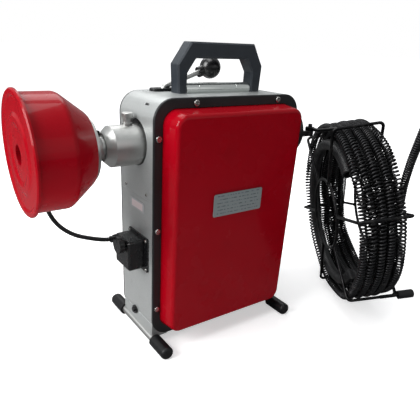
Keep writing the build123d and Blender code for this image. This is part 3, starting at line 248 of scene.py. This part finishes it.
def rating_plate():
    """Brushed plates with rows of short bars in place of any lettering."""
    s = Look("rating_plate")
    x, y, z = s.axes()
    brushed = s.noise(300, 3, 0.6, s.stretch((0.02, 1, 3)))
    base = s.mix(brushed, (0.25, 0.285, 0.29), (0.36, 0.40, 0.405))
    row_start, row_pitch = 0.2600, 0.0062
    height = s.calc("DIVIDE", s.calc("SUBTRACT", z, row_start), row_pitch)
    rows = s.calc("MODULO", height, 1.0)
    in_row = s.calc("MULTIPLY", s.calc("GREATER_THAN", rows, 0.40), s.calc("LESS_THAN", rows, 0.66))
    lane = s.calc("FLOOR", height)
    word = s.node("ShaderNodeTexNoise", noise_dimensions="2D")
    spot = s.vector(s.calc("MULTIPLY", x, 260.0), s.calc("MULTIPLY", lane, 7.3), 0.0)
    s.put(spot, word.inputs["Vector"])
    word.inputs["Scale"].default_value = 1.0
    inked = s.calc("GREATER_THAN", word.outputs["Fac"], 0.50)
    inside = s.calc("MULTIPLY", s.calc("GREATER_THAN", x, -0.050), s.calc("LESS_THAN", x, 0.042))
    on_cover = s.calc("LESS_THAN", y, -0.09)
    ink = s.calc("MULTIPLY", s.calc("MULTIPLY", in_row, inked), s.calc("MULTIPLY", inside, on_cover))
    base = s.over(base, ink, 0.72, (0.035, 0.045, 0.06))
    # the service plate on the front wall is paler, with a blank pink panel
    on_front = s.calc("LESS_THAN", x, -0.15)
    across = s.calc("LESS_THAN", s.calc("ABSOLUTE", s.calc("ADD", y, 0.004)), 0.020)
    within = s.calc("LESS_THAN", s.calc("ABSOLUTE", s.calc("SUBTRACT", z, 0.2665)), 0.0062)
    panel = s.calc("MULTIPLY", on_front, s.calc("MULTIPLY", across, within))
    base = s.mix(on_front, base, (0.50, 0.51, 0.52))
    base = s.over(base, panel, 0.8, (0.86, 0.72, 0.72))
    base = s.over(base, s.edge(0.6), 0.4, (0.62, 0.65, 0.66))
    s.set(Base_Color=base, Metallic=0.35, Roughness=s.vary(brushed, 0.36, 0.48))
    return s.bump(s.calc("SUBTRACT", brushed, ink), 0.04, 0.5, 0.3)


def bolt_steel():
    """Drum bolts; the small screw in the waist of the hub is blackened."""
    s = Look("bolt_steel")
    x, y, z = s.axes()
    black = s.calc("MULTIPLY", s.calc("GREATER_THAN", x, -0.2235), s.calc("GREATER_THAN", z, 0.384))
    skin = s.noise(400, 4)
    bright = s.mix(skin, (0.42, 0.41, 0.39), (0.66, 0.65, 0.63))
    dark = s.mix(skin, (0.006, 0.006, 0.007), (0.020, 0.020, 0.021))
    s.set(Base_Color=s.mix(black, bright, dark), Metallic=1.0, Roughness=s.vary(skin, 0.24, 0.40))
    return s.bump(s.noise(1500, 2), 0.03, 0.5, 0.3)


def handle_plastic():
    s = Look("handle_plastic")
    base = s.mix(s.noise(12, 4), (0.016, 0.021, 0.028), (0.026, 0.033, 0.042))
    base = s.over(base, s.edge(1.2), 0.6, (0.10, 0.115, 0.13))
    rub = s.patches(s.noise(70, 6, 0.75), 0.60, 0.74)
    base = s.over(base, rub, 0.3, (0.08, 0.085, 0.09))
    s.set(Base_Color=base, Roughness=s.vary(s.noise(35, 3), 0.40, 0.55))
    return s.bump(s.cells(1100), 0.09, 0.5, 0.7)


def chrome():
    s = Look("chrome")
    streak = s.noise(160, 4, 0.6, s.stretch((0.08, 1, 1)))
    base = s.mix(streak, (0.62, 0.66, 0.64), (0.86, 0.88, 0.86))
    s.set(Base_Color=base, Metallic=1.0, Roughness=s.vary(streak, 0.10, 0.24))
    return s.bump(streak, 0.02, 0.6, 0.3)


def turned_steel(name, rings):
    """Machined steel. rings gives the coordinate that runs across the tool marks."""
    s = Look(name)
    across = rings(s)
    marks = s.noise(1.0, 3, 0.6, s.vector(s.calc("MULTIPLY", across, 2600.0), 0.0, 0.0))
    coarse = s.noise(1.0, 2, 0.5, s.vector(s.calc("MULTIPLY", across, 420.0), 3.0, 0.0))
    base = s.mix(marks, (0.48, 0.485, 0.475), (0.66, 0.665, 0.65))
    stain = s.patches(s.noise(70, 5, 0.7), 0.55, 0.75)
    base = s.over(base, stain, 0.25, (0.32, 0.31, 0.28))
    base = s.over(base, s.edge(0.8), 0.5, (0.85, 0.85, 0.84))
    s.set(Base_Color=base, Metallic=1.0, Roughness=s.vary(coarse, 0.34, 0.48))
    s.set(Anisotropic=0.35)
    return s.bump(marks, 0.03, 0.7, 0.4)


def about_spindle(s):
    x, y, z = s.axes()
    low = s.calc("SUBTRACT", z, SPINDLE_Z)
    radius = s.calc("SQRT", s.calc("ADD", s.calc("MULTIPLY", y, y), s.calc("MULTIPLY", low, low)))
    return s.calc("ADD", x, radius)


def along(axis):
    return lambda s: s.axes()[axis]


def dark_steel():
    s = Look("dark_steel")
    base = s.mix(s.noise(90, 5), (0.10, 0.10, 0.105), (0.23, 0.225, 0.22))
    oil = s.patches(s.noise(24, 5, 0.7), 0.45, 0.65)
    base = s.over(base, oil, 0.4, (0.07, 0.055, 0.04))
    base = s.over(base, s.edge(0.7), 0.6, (0.55, 0.55, 0.54))
    s.set(Base_Color=base, Metallic=1.0, Roughness=s.vary(s.noise(60, 3), 0.26, 0.46))
    return s.bump(s.noise(800, 3), 0.04, 0.6, 0.4)


def ball_black():
    s = Look("ball_black")
    base = s.mix(s.noise(60, 3), (0.004, 0.004, 0.005), (0.008, 0.008, 0.009))
    s.set(Base_Color=base, Roughness=s.vary(s.noise(35, 2), 0.24, 0.30))
    s.set(Coat_Weight=0.15, Coat_Roughness=0.2)
    return s.bump(s.noise(500, 1), 0.01, 0.2, 0.0)


def rubber():
    s = Look("rubber")
    base = s.mix(s.noise(28, 4), (0.004, 0.004, 0.005), (0.009, 0.009, 0.010))
    dust = s.patches(s.noise(120, 6, 0.8), 0.58, 0.78)
    base = s.over(base, dust, 0.15, (0.035, 0.034, 0.033))
    s.set(Base_Color=base, Roughness=s.vary(s.noise(80, 3), 0.32, 0.46), Specular_IOR_Level=0.35)
    return s.bump(s.noise(1200, 3), 0.07, 0.6, 0.6)


def hose_rubber():
    """Ribbed black hose; the ribs run across the loop it lies in."""
    s = Look("hose_rubber")
    x, y, z = s.axes()
    turn = s.calc("ARCTAN2", s.calc("SUBTRACT", z, 0.200), s.calc("ADD", y, 0.075))
    rib = s.calc("SINE", s.calc("MULTIPLY", turn, 180.0))
    # painted shade and highlight: the grooves between ribs are drawn darker and the rib crests lighter
    base = s.mix(s.span(rib, -1.0, 1.0), (0.004, 0.004, 0.005), (0.011, 0.011, 0.012))
    dust = s.patches(s.noise(90, 6, 0.8), 0.58, 0.78)
    base = s.over(base, dust, 0.15, (0.035, 0.034, 0.033))
    s.set(Base_Color=base, Roughness=s.vary(s.noise(80, 3), 0.34, 0.50))
    return s.bump(rib, 0.35, 0.6, 0.0)


def black_plastic():
    s = Look("black_plastic")
    base = s.mix(s.noise(40, 4), (0.004, 0.004, 0.005), (0.008, 0.008, 0.009))
    base = s.over(base, s.edge(0.7), 0.4, (0.045, 0.045, 0.047))
    s.set(Base_Color=base, Roughness=s.vary(s.noise(60, 4), 0.22, 0.34))
    return s.bump(s.cells(1500), 0.03, 0.4, 0.6)


def plug_plastic():
    """Moulded black plug with brass pins."""
    s = Look("plug_plastic")
    x, y, z = s.axes()
    pin = s.calc("MULTIPLY", s.calc("GREATER_THAN", x, 0.0901), s.calc("GREATER_THAN", y, 0.2))
    dark = s.mix(s.noise(50, 4), (0.008, 0.008, 0.009), (0.016, 0.016, 0.017))
    brass = s.mix(s.noise(300, 4), (0.52, 0.36, 0.13), (0.66, 0.48, 0.20))
    s.set(Base_Color=s.mix(pin, dark, brass), Metallic=pin)
    s.set(Roughness=s.vary(s.noise(70, 3), 0.26, 0.42))
    return s.bump(s.cells(1400), 0.05, 0.4, 0.6)


def cast_black():
    s = Look("cast_black")
    lumps = s.noise(240, 4, 0.65)
    base = s.mix(lumps, (0.010, 0.010, 0.011), (0.030, 0.030, 0.031))
    base = s.over(base, s.edge(0.9), 0.4, (0.14, 0.14, 0.14))
    s.set(Base_Color=base, Roughness=s.vary(lumps, 0.34, 0.55), Metallic=0.2)
    return s.bump(lumps, 0.35, 0.6, 0.8)


def bronze():
    s = Look("bronze")
    x, y, z = s.axes()
    marks = s.noise(1.0, 3, 0.6, s.vector(s.calc("MULTIPLY", x, 2200.0), 0.0, 0.0))
    base = s.mix(marks, (0.42, 0.25, 0.09), (0.58, 0.38, 0.16))
    s.set(Base_Color=base, Metallic=1.0, Roughness=s.vary(marks, 0.26, 0.40))
    return s.bump(marks, 0.03, 0.6, 0.4)


def bearing():
    s = Look("bearing")
    x, y, z = s.axes()
    marks = s.noise(1.0, 2, 0.5, s.vector(s.calc("MULTIPLY", x, 3000.0), 0.0, 0.0))
    base = s.mix(marks, (0.60, 0.60, 0.60), (0.76, 0.76, 0.75))
    s.set(Base_Color=base, Metallic=1.0, Roughness=s.vary(s.noise(90, 3), 0.10, 0.22))
    return s.bump(marks, 0.01, 0.5, 0.3)


def motor_alu():
    s = Look("motor_alu")
    skin = s.noise(330, 4, 0.6)
    base = s.mix(skin, (0.38, 0.39, 0.40), (0.58, 0.59, 0.60))
    grime = s.patches(s.noise(30, 5, 0.7), 0.50, 0.70)
    base = s.over(base, grime, 0.4, (0.14, 0.13, 0.12))
    s.set(Base_Color=base, Metallic=0.9, Roughness=s.vary(skin, 0.40, 0.60))
    return s.bump(skin, 0.15, 0.6, 0.6)


def lamination():
    """Stacked sheets along the motor axis, with varnished copper at both ends of the core."""
    s = Look("lamination")
    x, y, z = s.axes()
    sheet = s.calc("SINE", s.calc("MULTIPLY", x, 9000.0))
    steel = s.mix(s.span(sheet, -1.0, 1.0), (0.12, 0.115, 0.11), (0.34, 0.33, 0.32))
    across = s.vector(s.calc("MULTIPLY", y, 900.0), s.calc("MULTIPLY", z, 900.0), 0.0)
    turn = s.noise(1.0, 3, 0.5, across)
    copper = s.mix(turn, (0.30, 0.085, 0.02), (0.62, 0.24, 0.08))
    out_of_core = s.calc("GREATER_THAN", s.calc("ABSOLUTE", s.calc("SUBTRACT", x, MOTOR_X)), CORE_HALF)
    rise = s.calc("SUBTRACT", z, MOTOR_Z)
    ring = s.calc("SQRT", s.calc("ADD", s.calc("MULTIPLY", y, y), s.calc("MULTIPLY", rise, rise)))
    winding = s.calc("MULTIPLY", out_of_core, s.calc("GREATER_THAN", ring, CORE_BORE_R))
    s.set(Base_Color=s.mix(winding, steel, copper), Metallic=s.span(winding, 0.0, 1.0, 0.9, 0.4))
    s.set(Roughness=s.vary(s.noise(90, 3), 0.30, 0.50))
    return s.bump(s.calc("ADD", sheet, turn), 0.05, 0.5, 0.3)


def oxide_wire(name, low, high):
    """Black oxide spring wire, rubbed brighter on patches."""
    s = Look(name)
    base = s.mix(s.noise(110, 4), low, high)
    worn = s.patches(s.noise(45, 6, 0.75), 0.52, 0.72)
    base = s.over(base, worn, 0.35, (0.13, 0.125, 0.12))
    s.set(Base_Color=base, Metallic=0.75, Roughness=s.vary(s.noise(160, 3), 0.30, 0.48))
    return s.bump(s.noise(1100, 3), 0.05, 0.5, 0.0)


def drum_wire():
    """Close-wound small cable inside the drum."""
    s = Look("drum_wire")
    x, y, z = s.axes()
    turn = s.calc("ARCTAN2", y, s.calc("SUBTRACT", z, SPINDLE_Z))
    wind = s.calc("SINE", s.calc("MULTIPLY", turn, 330.0))
    # painted shade and highlight: near-black in the gaps between turns, brighter on the crest of each
    # turn
    base = s.mix(s.span(wind, -1.0, 1.0), (0.02, 0.02, 0.02), (0.20, 0.195, 0.19))
    s.set(Base_Color=base, Metallic=0.8, Roughness=s.vary(s.noise(80, 3), 0.30, 0.45))
    return s.bump(wind, 0.5, 0.8, 0.0)


def pulley():
    s = Look("pulley")
    across = about_spindle(s)
    marks = s.noise(1.0, 3, 0.6, s.vector(s.calc("MULTIPLY", across, 1800.0), 0.0, 0.0))
    base = s.mix(marks, (0.50, 0.51, 0.52), (0.70, 0.71, 0.72))
    s.set(Base_Color=base, Metallic=1.0, Roughness=s.vary(marks, 0.26, 0.40))
    return s.bump(marks, 0.04, 0.6, 0.4)


by_slot = {
    "red_paint": red_paint(),
    "frame_cast": frame_cast(),
    "black_bezel": black_bezel(),
    "screw_steel": screw_steel(),
    "plate": rating_plate(),
    "handle_plastic": handle_plastic(),
    "chrome": chrome(),
    "turned_steel": turned_steel("turned_steel", about_spindle),
    "dark_steel": dark_steel(),
    "ball_black": ball_black(),
    "rubber": rubber(),
    "black_plastic": black_plastic(),
    "cast_black": cast_black(),
    "bronze": bronze(),
    "bearing": bearing(),
    "motor_alu": motor_alu(),
    "lamination": lamination(),
    "cable_wire": oxide_wire("cable_wire", (0.010, 0.010, 0.011), (0.030, 0.030, 0.032)),
    "cage_wire": oxide_wire("cage_wire", (0.004, 0.004, 0.005), (0.012, 0.012, 0.013)),
    "pulley": pulley(),
}
by_node = {
    "power_plug": plug_plastic(),
    "drum_bolts": bolt_steel(),
    "guide_hose": hose_rubber(),
    "drum_cable": drum_wire(),
    "foot_bars": turned_steel("drawn_bar", along(0)),
    "clutch_lever": turned_steel("lever_steel", along(2)),
    "lock_pin": turned_steel("pin_steel", along(2)),
    "lock_pin_housing": turned_steel("pin_seat_steel", along(2)),
    "cable_coupling": turned_steel("coupling_steel", along(2)),
}
for name, obj in nodes.items():
    for place in obj.material_slots:
        look = by_node.get(name) or by_slot[place.material.name.split(".")[0]]
        place.material = look.material


# ---- mesh helpers ----------------------------------------------------------------------
def piece(name, points, faces, look, body, smooth=True):
    mesh = bpy.data.meshes.new(name)
    mesh.from_pydata([tuple(p) for p in points], [], faces)
    mesh.validate()
    mesh.update()
    if smooth:
        mesh.shade_smooth()
    mesh.materials.append(look.material)
    obj = bpy.data.objects.new(name, mesh)
    bpy.context.scene.collection.objects.link(obj)
    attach(obj, body)
    return obj


def normalise(v):
    return v / np.linalg.norm(v, axis=1, keepdims=True)


def tube(centres, sideways, radius, sides):
    """Points and faces of a closed-ended tube along centres. sideways is across the path."""
    ahead = normalise(np.gradient(centres, axis=0))
    sideways = normalise(sideways - ahead * (sideways * ahead).sum(1, keepdims=True))
    up = np.cross(ahead, sideways)
    turn = np.arange(sides) * 2 * math.pi / sides
    ring = sideways[:, None] * np.cos(turn)[:, None] + up[:, None] * np.sin(turn)[:, None]
    points = (centres[:, None] + radius * ring).reshape(-1, 3)
    count = len(centres)
    a = np.arange(count - 1)[:, None] * sides + np.arange(sides)
    b = np.arange(count - 1)[:, None] * sides + (np.arange(sides) + 1) % sides
    quads = np.stack([a, b, b + sides, a + sides], -1).reshape(-1, 4).tolist()
    quads.append(list(range(sides))[::-1])
    quads.append(list(range((count - 1) * sides, count * sides)))
    return points, quads


def wound_wire(path, sideways, pitch, cable_r, wire_r, per_turn=12, sides=6):
    """Open helix of wire around a path. pitch is one number or one per path point."""
    step = np.linalg.norm(np.diff(path, axis=0), axis=1)
    pitch = np.broadcast_to(pitch, len(path))
    turn = np.concatenate([[0], np.cumsum(2 * math.pi * step / ((pitch[1:] + pitch[:-1]) / 2))])
    samples = np.arange(0, turn[-1], 2 * math.pi / per_turn)

    def at(values):
        return np.stack([np.interp(samples, turn, values[:, k]) for k in range(3)], 1)

    middle = at(path)
    ahead = normalise(at(np.gradient(path, axis=0)))
    side = at(sideways)
    side = normalise(side - ahead * (side * ahead).sum(1, keepdims=True))
    up = np.cross(ahead, side)
    out = side * np.cos(samples)[:, None] + up * np.sin(samples)[:, None]
    return tube(middle + out * (cable_r - wire_r), out, wire_r, sides)


def join(*parts):
    points, faces, base = [], [], 0
    for p, f in parts:
        points.append(np.asarray(p))
        faces += [[i + base for i in face] for face in f]
        base += len(p)
    return np.concatenate(points), faces


# ---- cable carrier ---------------------------------------------------------------------
CARRIER = np.array((310.0 + HOME[0] / MM, -101.0 + HOME[1] / MM, 209.2))
HEADING = math.radians(-32.3)
LEAN = math.radians(10.3)
ACROSS = np.array((-math.sin(HEADING), math.cos(HEADING), 0.0))
OUTWARD = np.array((math.cos(HEADING), math.sin(HEADING), 0.0))
RISE = np.array((0.0, 0.0, 1.0))
UPWARD = math.cos(LEAN) * RISE - math.sin(LEAN) * OUTWARD
AXIS = math.sin(LEAN) * RISE + math.cos(LEAN) * OUTWARD
CABLE_R = 7.8
WIRE_R = 1.9
COIL_PITCH = 16.0
COLUMN_PITCH = 17.2
COIL_OUT_R = 182.0
FIRST_COLUMN = -36.0
COLUMN_LAYERS = (1, 2, 3, 3, 3)
CAGE_HALF = 48.0
NEAR_HOOP_R = 75.5
FAR_HOOP_R = 92.0
CAGE_PHASE = 44.0
CAGE_BARS = 6
COIL_START = 215.0
JOG_START = 0.86         # part of a turn after which the cable steps to the next place
COIL_STEPS = 240


def turned_to(local):
    local = np.atleast_2d(np.asarray(local, float))
    return local[:, :1] * ACROSS + local[:, 1:2] * UPWARD + local[:, 2:] * AXIS


def on_carrier(local):
    """Carrier coordinates in millimetres to the row frame in metres."""
    return (CARRIER + turned_to(local)) * MM


def smooth_path(corners, count):
    """Catmull-Rom curve through the corners."""
    p = np.asarray(corners, float)
    p = np.vstack([2 * p[0] - p[1], p, 2 * p[-1] - p[-2]])
    spans = len(p) - 3
    out = []
    for t in np.linspace(0, spans - 1e-9, count):
        k = int(t)
        u = t - k
        a, b, c, d = p[k : k + 4]
        square = (2 * a - 5 * b + 4 * c - d) * u**2
        cube = (3 * b - a - 3 * c + d) * u**3
        out.append(0.5 * (2 * b + (c - a) * u + square + cube))
    return np.array(out)


def smooth_step(t):
    t = np.clip(t, 0, 1)
    return t * t * (3 - 2 * t)


def turn_places():
    """Radius and axial place of each turn, wound layer by layer from the inside."""
    places = []
    for layer in reversed(range(max(COLUMN_LAYERS))):
        columns = [c for c, layers in enumerate(COLUMN_LAYERS) if layers > layer]
        if len(places) % 2:
            columns.reverse()
        radius = COIL_OUT_R - COIL_PITCH * layer
        places += [(radius, FIRST_COLUMN + COLUMN_PITCH * c) for c in columns]
    return np.array(places)


def wound_cable():
    """The long cable, coiled turn by turn with a short jog from each turn to the next."""
    rng = np.random.default_rng(7)
    places = turn_places()
    t = np.arange(0, len(places), 1 / COIL_STEPS)
    turn = t.astype(int)
    after = np.minimum(turn + 1, len(places) - 1)
    jog = smooth_step((t - turn - JOG_START) / (1 - JOG_START))[:, None]
    r, z = (places[turn] * (1 - jog) + places[after] * jog).T
    angle = -2 * math.pi * t + math.radians(COIL_START)
    wave_r = np.zeros_like(t)
    wave_z = np.zeros_like(t)
    for cycles in (1.37, 2.61, 4.83, 7.9):
        wave_r += 0.55 * np.sin(2 * math.pi * cycles * t + rng.uniform(0, 6.28))
        wave_z += 0.65 * np.sin(2 * math.pi * cycles * t * 1.07 + rng.uniform(0, 6.28))
    outer = places[turn][:, 0] > COIL_OUT_R - 1
    r = r + np.where(outer, np.minimum(wave_r, 0.6), wave_r)
    local = np.stack([r * np.cos(angle), r * np.sin(angle), z + wave_z], 1)
    outward = np.stack([np.cos(angle), np.sin(angle), 0 * t], 1)
    pitch = 5.6 + 0.8 * np.sin(2 * math.pi * 0.71 * t) + np.where(outer, 1.2, 0.0)
    return local, outward, pitch


def build_cables():
    local, outward, pitch = wound_cable()
    coil = wound_wire(on_carrier(local), turned_to(outward), pitch * MM, CABLE_R * MM, WIRE_R * MM)
    tail = smooth_path([
        (-96, 8, 60), (-104, 42, 62), (-112, 84, 63),
        (-125, 122, 64), (-139, 153, 65), (-172, 214, 66),
    ], 160)
    outward = np.tile((-1.0, 0.0, 0.2), (len(tail), 1))
    loose = wound_wire(on_carrier(tail), turned_to(outward), 5.0 * MM, CABLE_R * MM, WIRE_R * MM)
    hang = smooth_path([(8, 138, 6), (17, 97, 0), (28, 49, 0), (40, 0, 0)], 80)
    outward = np.tile((1.0, 0.0, 0.0), (len(hang), 1))
    small = wound_wire(on_carrier(hang), turned_to(outward), 3.4 * MM, 4.5 * MM, 0.9 * MM, 10, 5)
    points, faces = join(coil, loose, small)
    cables = piece("wound_cables", points, faces, by_slot["cable_wire"], "carrier")
    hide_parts("drain_cables")


def bead(centre, axes, rng):
    """Lumpy weld bead: a stretched ball with a rough skin."""
    around, down = 12, 8
    points, faces = [], []
    for i in range(down + 1):
        for k in range(around):
            lift = math.pi * i / down
            turn = 2 * math.pi * k / around
            ball = (math.sin(lift) * math.cos(turn), math.sin(lift) * math.sin(turn), math.cos(lift))
            size = 1 + rng.uniform(-0.12, 0.12) if 0 < i < down else 1
            points.append(centre + sum(a * b * size for a, b in zip(axes, ball)))
    for i in range(down):
        for k in range(around):
            a, b = i * around + k, i * around + (k + 1) % around
            faces.append([a, b, b + around, a + around])
    return np.array(points), faces


def build_beads():
    """Welds where each bar of the cage meets the two hoops."""
    rng = np.random.default_rng(11)
    beads = []
    for k in range(CAGE_BARS):
        turn = math.radians(CAGE_PHASE + 360 / CAGE_BARS * k)
        outward = np.array((math.cos(turn), math.sin(turn), 0.0))
        along_hoop = np.array((-math.sin(turn), math.cos(turn), 0.0))
        for radius, z in ((NEAR_HOOP_R, -CAGE_HALF), (FAR_HOOP_R, CAGE_HALF)):
            centre = outward * (radius + 2.5) + (0, 0, z)
            points, faces = bead(centre, (outward * 3.2, along_hoop * 5.0, np.array((0, 0, 3.6))), rng)
            beads.append((on_carrier(points), faces))
    points, faces = join(*beads)
    piece("weld_beads", points, faces, by_slot["cage_wire"], "carrier")


build_cables()
build_beads()


# ---- floor, light and camera -----------------------------------------------------------
def floor():
    half = 30.0
    mesh = bpy.data.meshes.new("floor")
    corners = [(-half, -half, 0), (half, -half, 0), (half, half, 0), (-half, half, 0)]
    mesh.from_pydata(corners, [], [(0, 1, 2, 3)])
    s = Look("floor")
    x, y, z = s.axes()
    far = s.calc("SQRT", s.calc("ADD", s.calc("MULTIPLY", x, x), s.calc("MULTIPLY", y, y)))
    seen = s.node("ShaderNodeLightPath").outputs
    # painted shade in reflections: glossy rays see the floor dark, 0.24 near the machine fading to
    # 0.10 further out, instead of its pale colour
    dim = s.ramp(s.span(far, 0.2, 1.4), (0.0, 0.24), (1.0, 0.10))
    pale = s.mix(s.noise(3, 2), (0.86, 0.86, 0.86), (0.88, 0.88, 0.88))
    s.set(Base_Color=s.mix(seen["Is Glossy Ray"], pale, dim), Roughness=0.8, Specular_IOR_Level=0.1)
    # painted light: for the camera alone the studio floor glows and reads white away from the machine;
    # the glow fades towards the machine, which paints the floor darker around it on top of the soft
    # shadow it keeps under it
    camera_glow_painted_shade = s.span(far, 0.25, 0.95, 0.50, 1.05)
    camera_glow_painted_shade = s.calc("MULTIPLY", seen["Is Camera Ray"], camera_glow_painted_shade)
    s.set(Emission_Color=(1.0, 1.0, 1.0), Emission_Strength=camera_glow_painted_shade)
    mesh.materials.append(s.material)
    obj = bpy.data.objects.new("floor", mesh)
    bpy.context.scene.collection.objects.link(obj)


def area_light(name, place, aim, size, watts, colour=(1, 1, 1)):
    data = bpy.data.lights.new(name, "AREA")
    data.shape = "RECTANGLE"
    data.size, data.size_y = size
    data.energy = watts
    data.color = colour
    obj = bpy.data.objects.new(name, data)
    obj.location = Vector(place) + Vector(HOME)
    obj.rotation_mode = "QUATERNION"
    obj.rotation_quaternion = (Vector(aim) - Vector(place)).to_track_quat("-Z", "Y")
    bpy.context.scene.collection.objects.link(obj)
    return obj


def world():
    w = bpy.data.worlds.new("studio")
    bpy.context.scene.world = w
    w.use_nodes = True
    tree = w.node_tree
    tree.nodes.clear()
    out = tree.nodes.new("ShaderNodeOutputWorld")
    back = tree.nodes.new("ShaderNodeBackground")
    rays = tree.nodes.new("ShaderNodeLightPath").outputs
    tint = (0.17, 0.175, 0.185, 1)
    # metals mirror a brighter room than the one that lights the paint
    shades = (("Is Glossy Ray", (0.42, 0.43, 0.435, 1)), ("Is Camera Ray", (1.0, 1.0, 1.0, 1)))
    for ray, shade in shades:
        pick = tree.nodes.new("ShaderNodeMix")
        pick.data_type = "RGBA"
        if isinstance(tint, tuple):
            pick.inputs[6].default_value = tint
        else:
            tree.links.new(tint, pick.inputs[6])
        pick.inputs[7].default_value = shade
        tree.links.new(rays[ray], pick.inputs[0])
        tint = pick.outputs[2]
    tree.links.new(tint, back.inputs["Color"])
    tree.links.new(back.outputs[0], out.inputs["Surface"])


def camera():
    eye = Vector((-0.48295, -0.65154, 0.5288))
    right = Vector((0.8272, -0.5619, 0.0))
    up = Vector((0.2372, 0.3492, 0.9065))
    ahead = Vector((0.5094, 0.7498, -0.4222))
    roll = 0.044
    rolled_right = math.cos(roll) * right + math.sin(roll) * up
    rolled_up = -math.sin(roll) * right + math.cos(roll) * up
    data = bpy.data.cameras.new("camera")
    data.sensor_width = 36.0
    data.lens = 37.48
    data.shift_x = 0.0543
    data.shift_y = 0.0836
    data.clip_start = 0.02
    cam = bpy.data.objects.new("camera", data)
    turn = Matrix((rolled_right, rolled_up, -ahead)).transposed().to_4x4()
    cam.matrix_world = Matrix.Translation(eye + Vector(HOME)) @ turn
    bpy.context.scene.collection.objects.link(cam)
    bpy.context.scene.camera = cam


floor()
world()
area_light("key", (-2.1, 0.1, 1.5), (0.0, 0.0, 0.25), (1.5, 1.5), 70)
area_light("top", (-0.3, 0.1, 2.4), (0.0, 0.0, 0.3), (1.8, 1.0), 20)
area_light("fill", (0.8, -2.2, 1.4), (0.1, 0.0, 0.2), (1.6, 1.2), 2)
area_light("back", (0.4, 1.6, 2.0), (0.1, 0.0, 0.3), (1.6, 1.0), 14)
camera()
bpy.context.scene.view_settings.view_transform = "Standard"
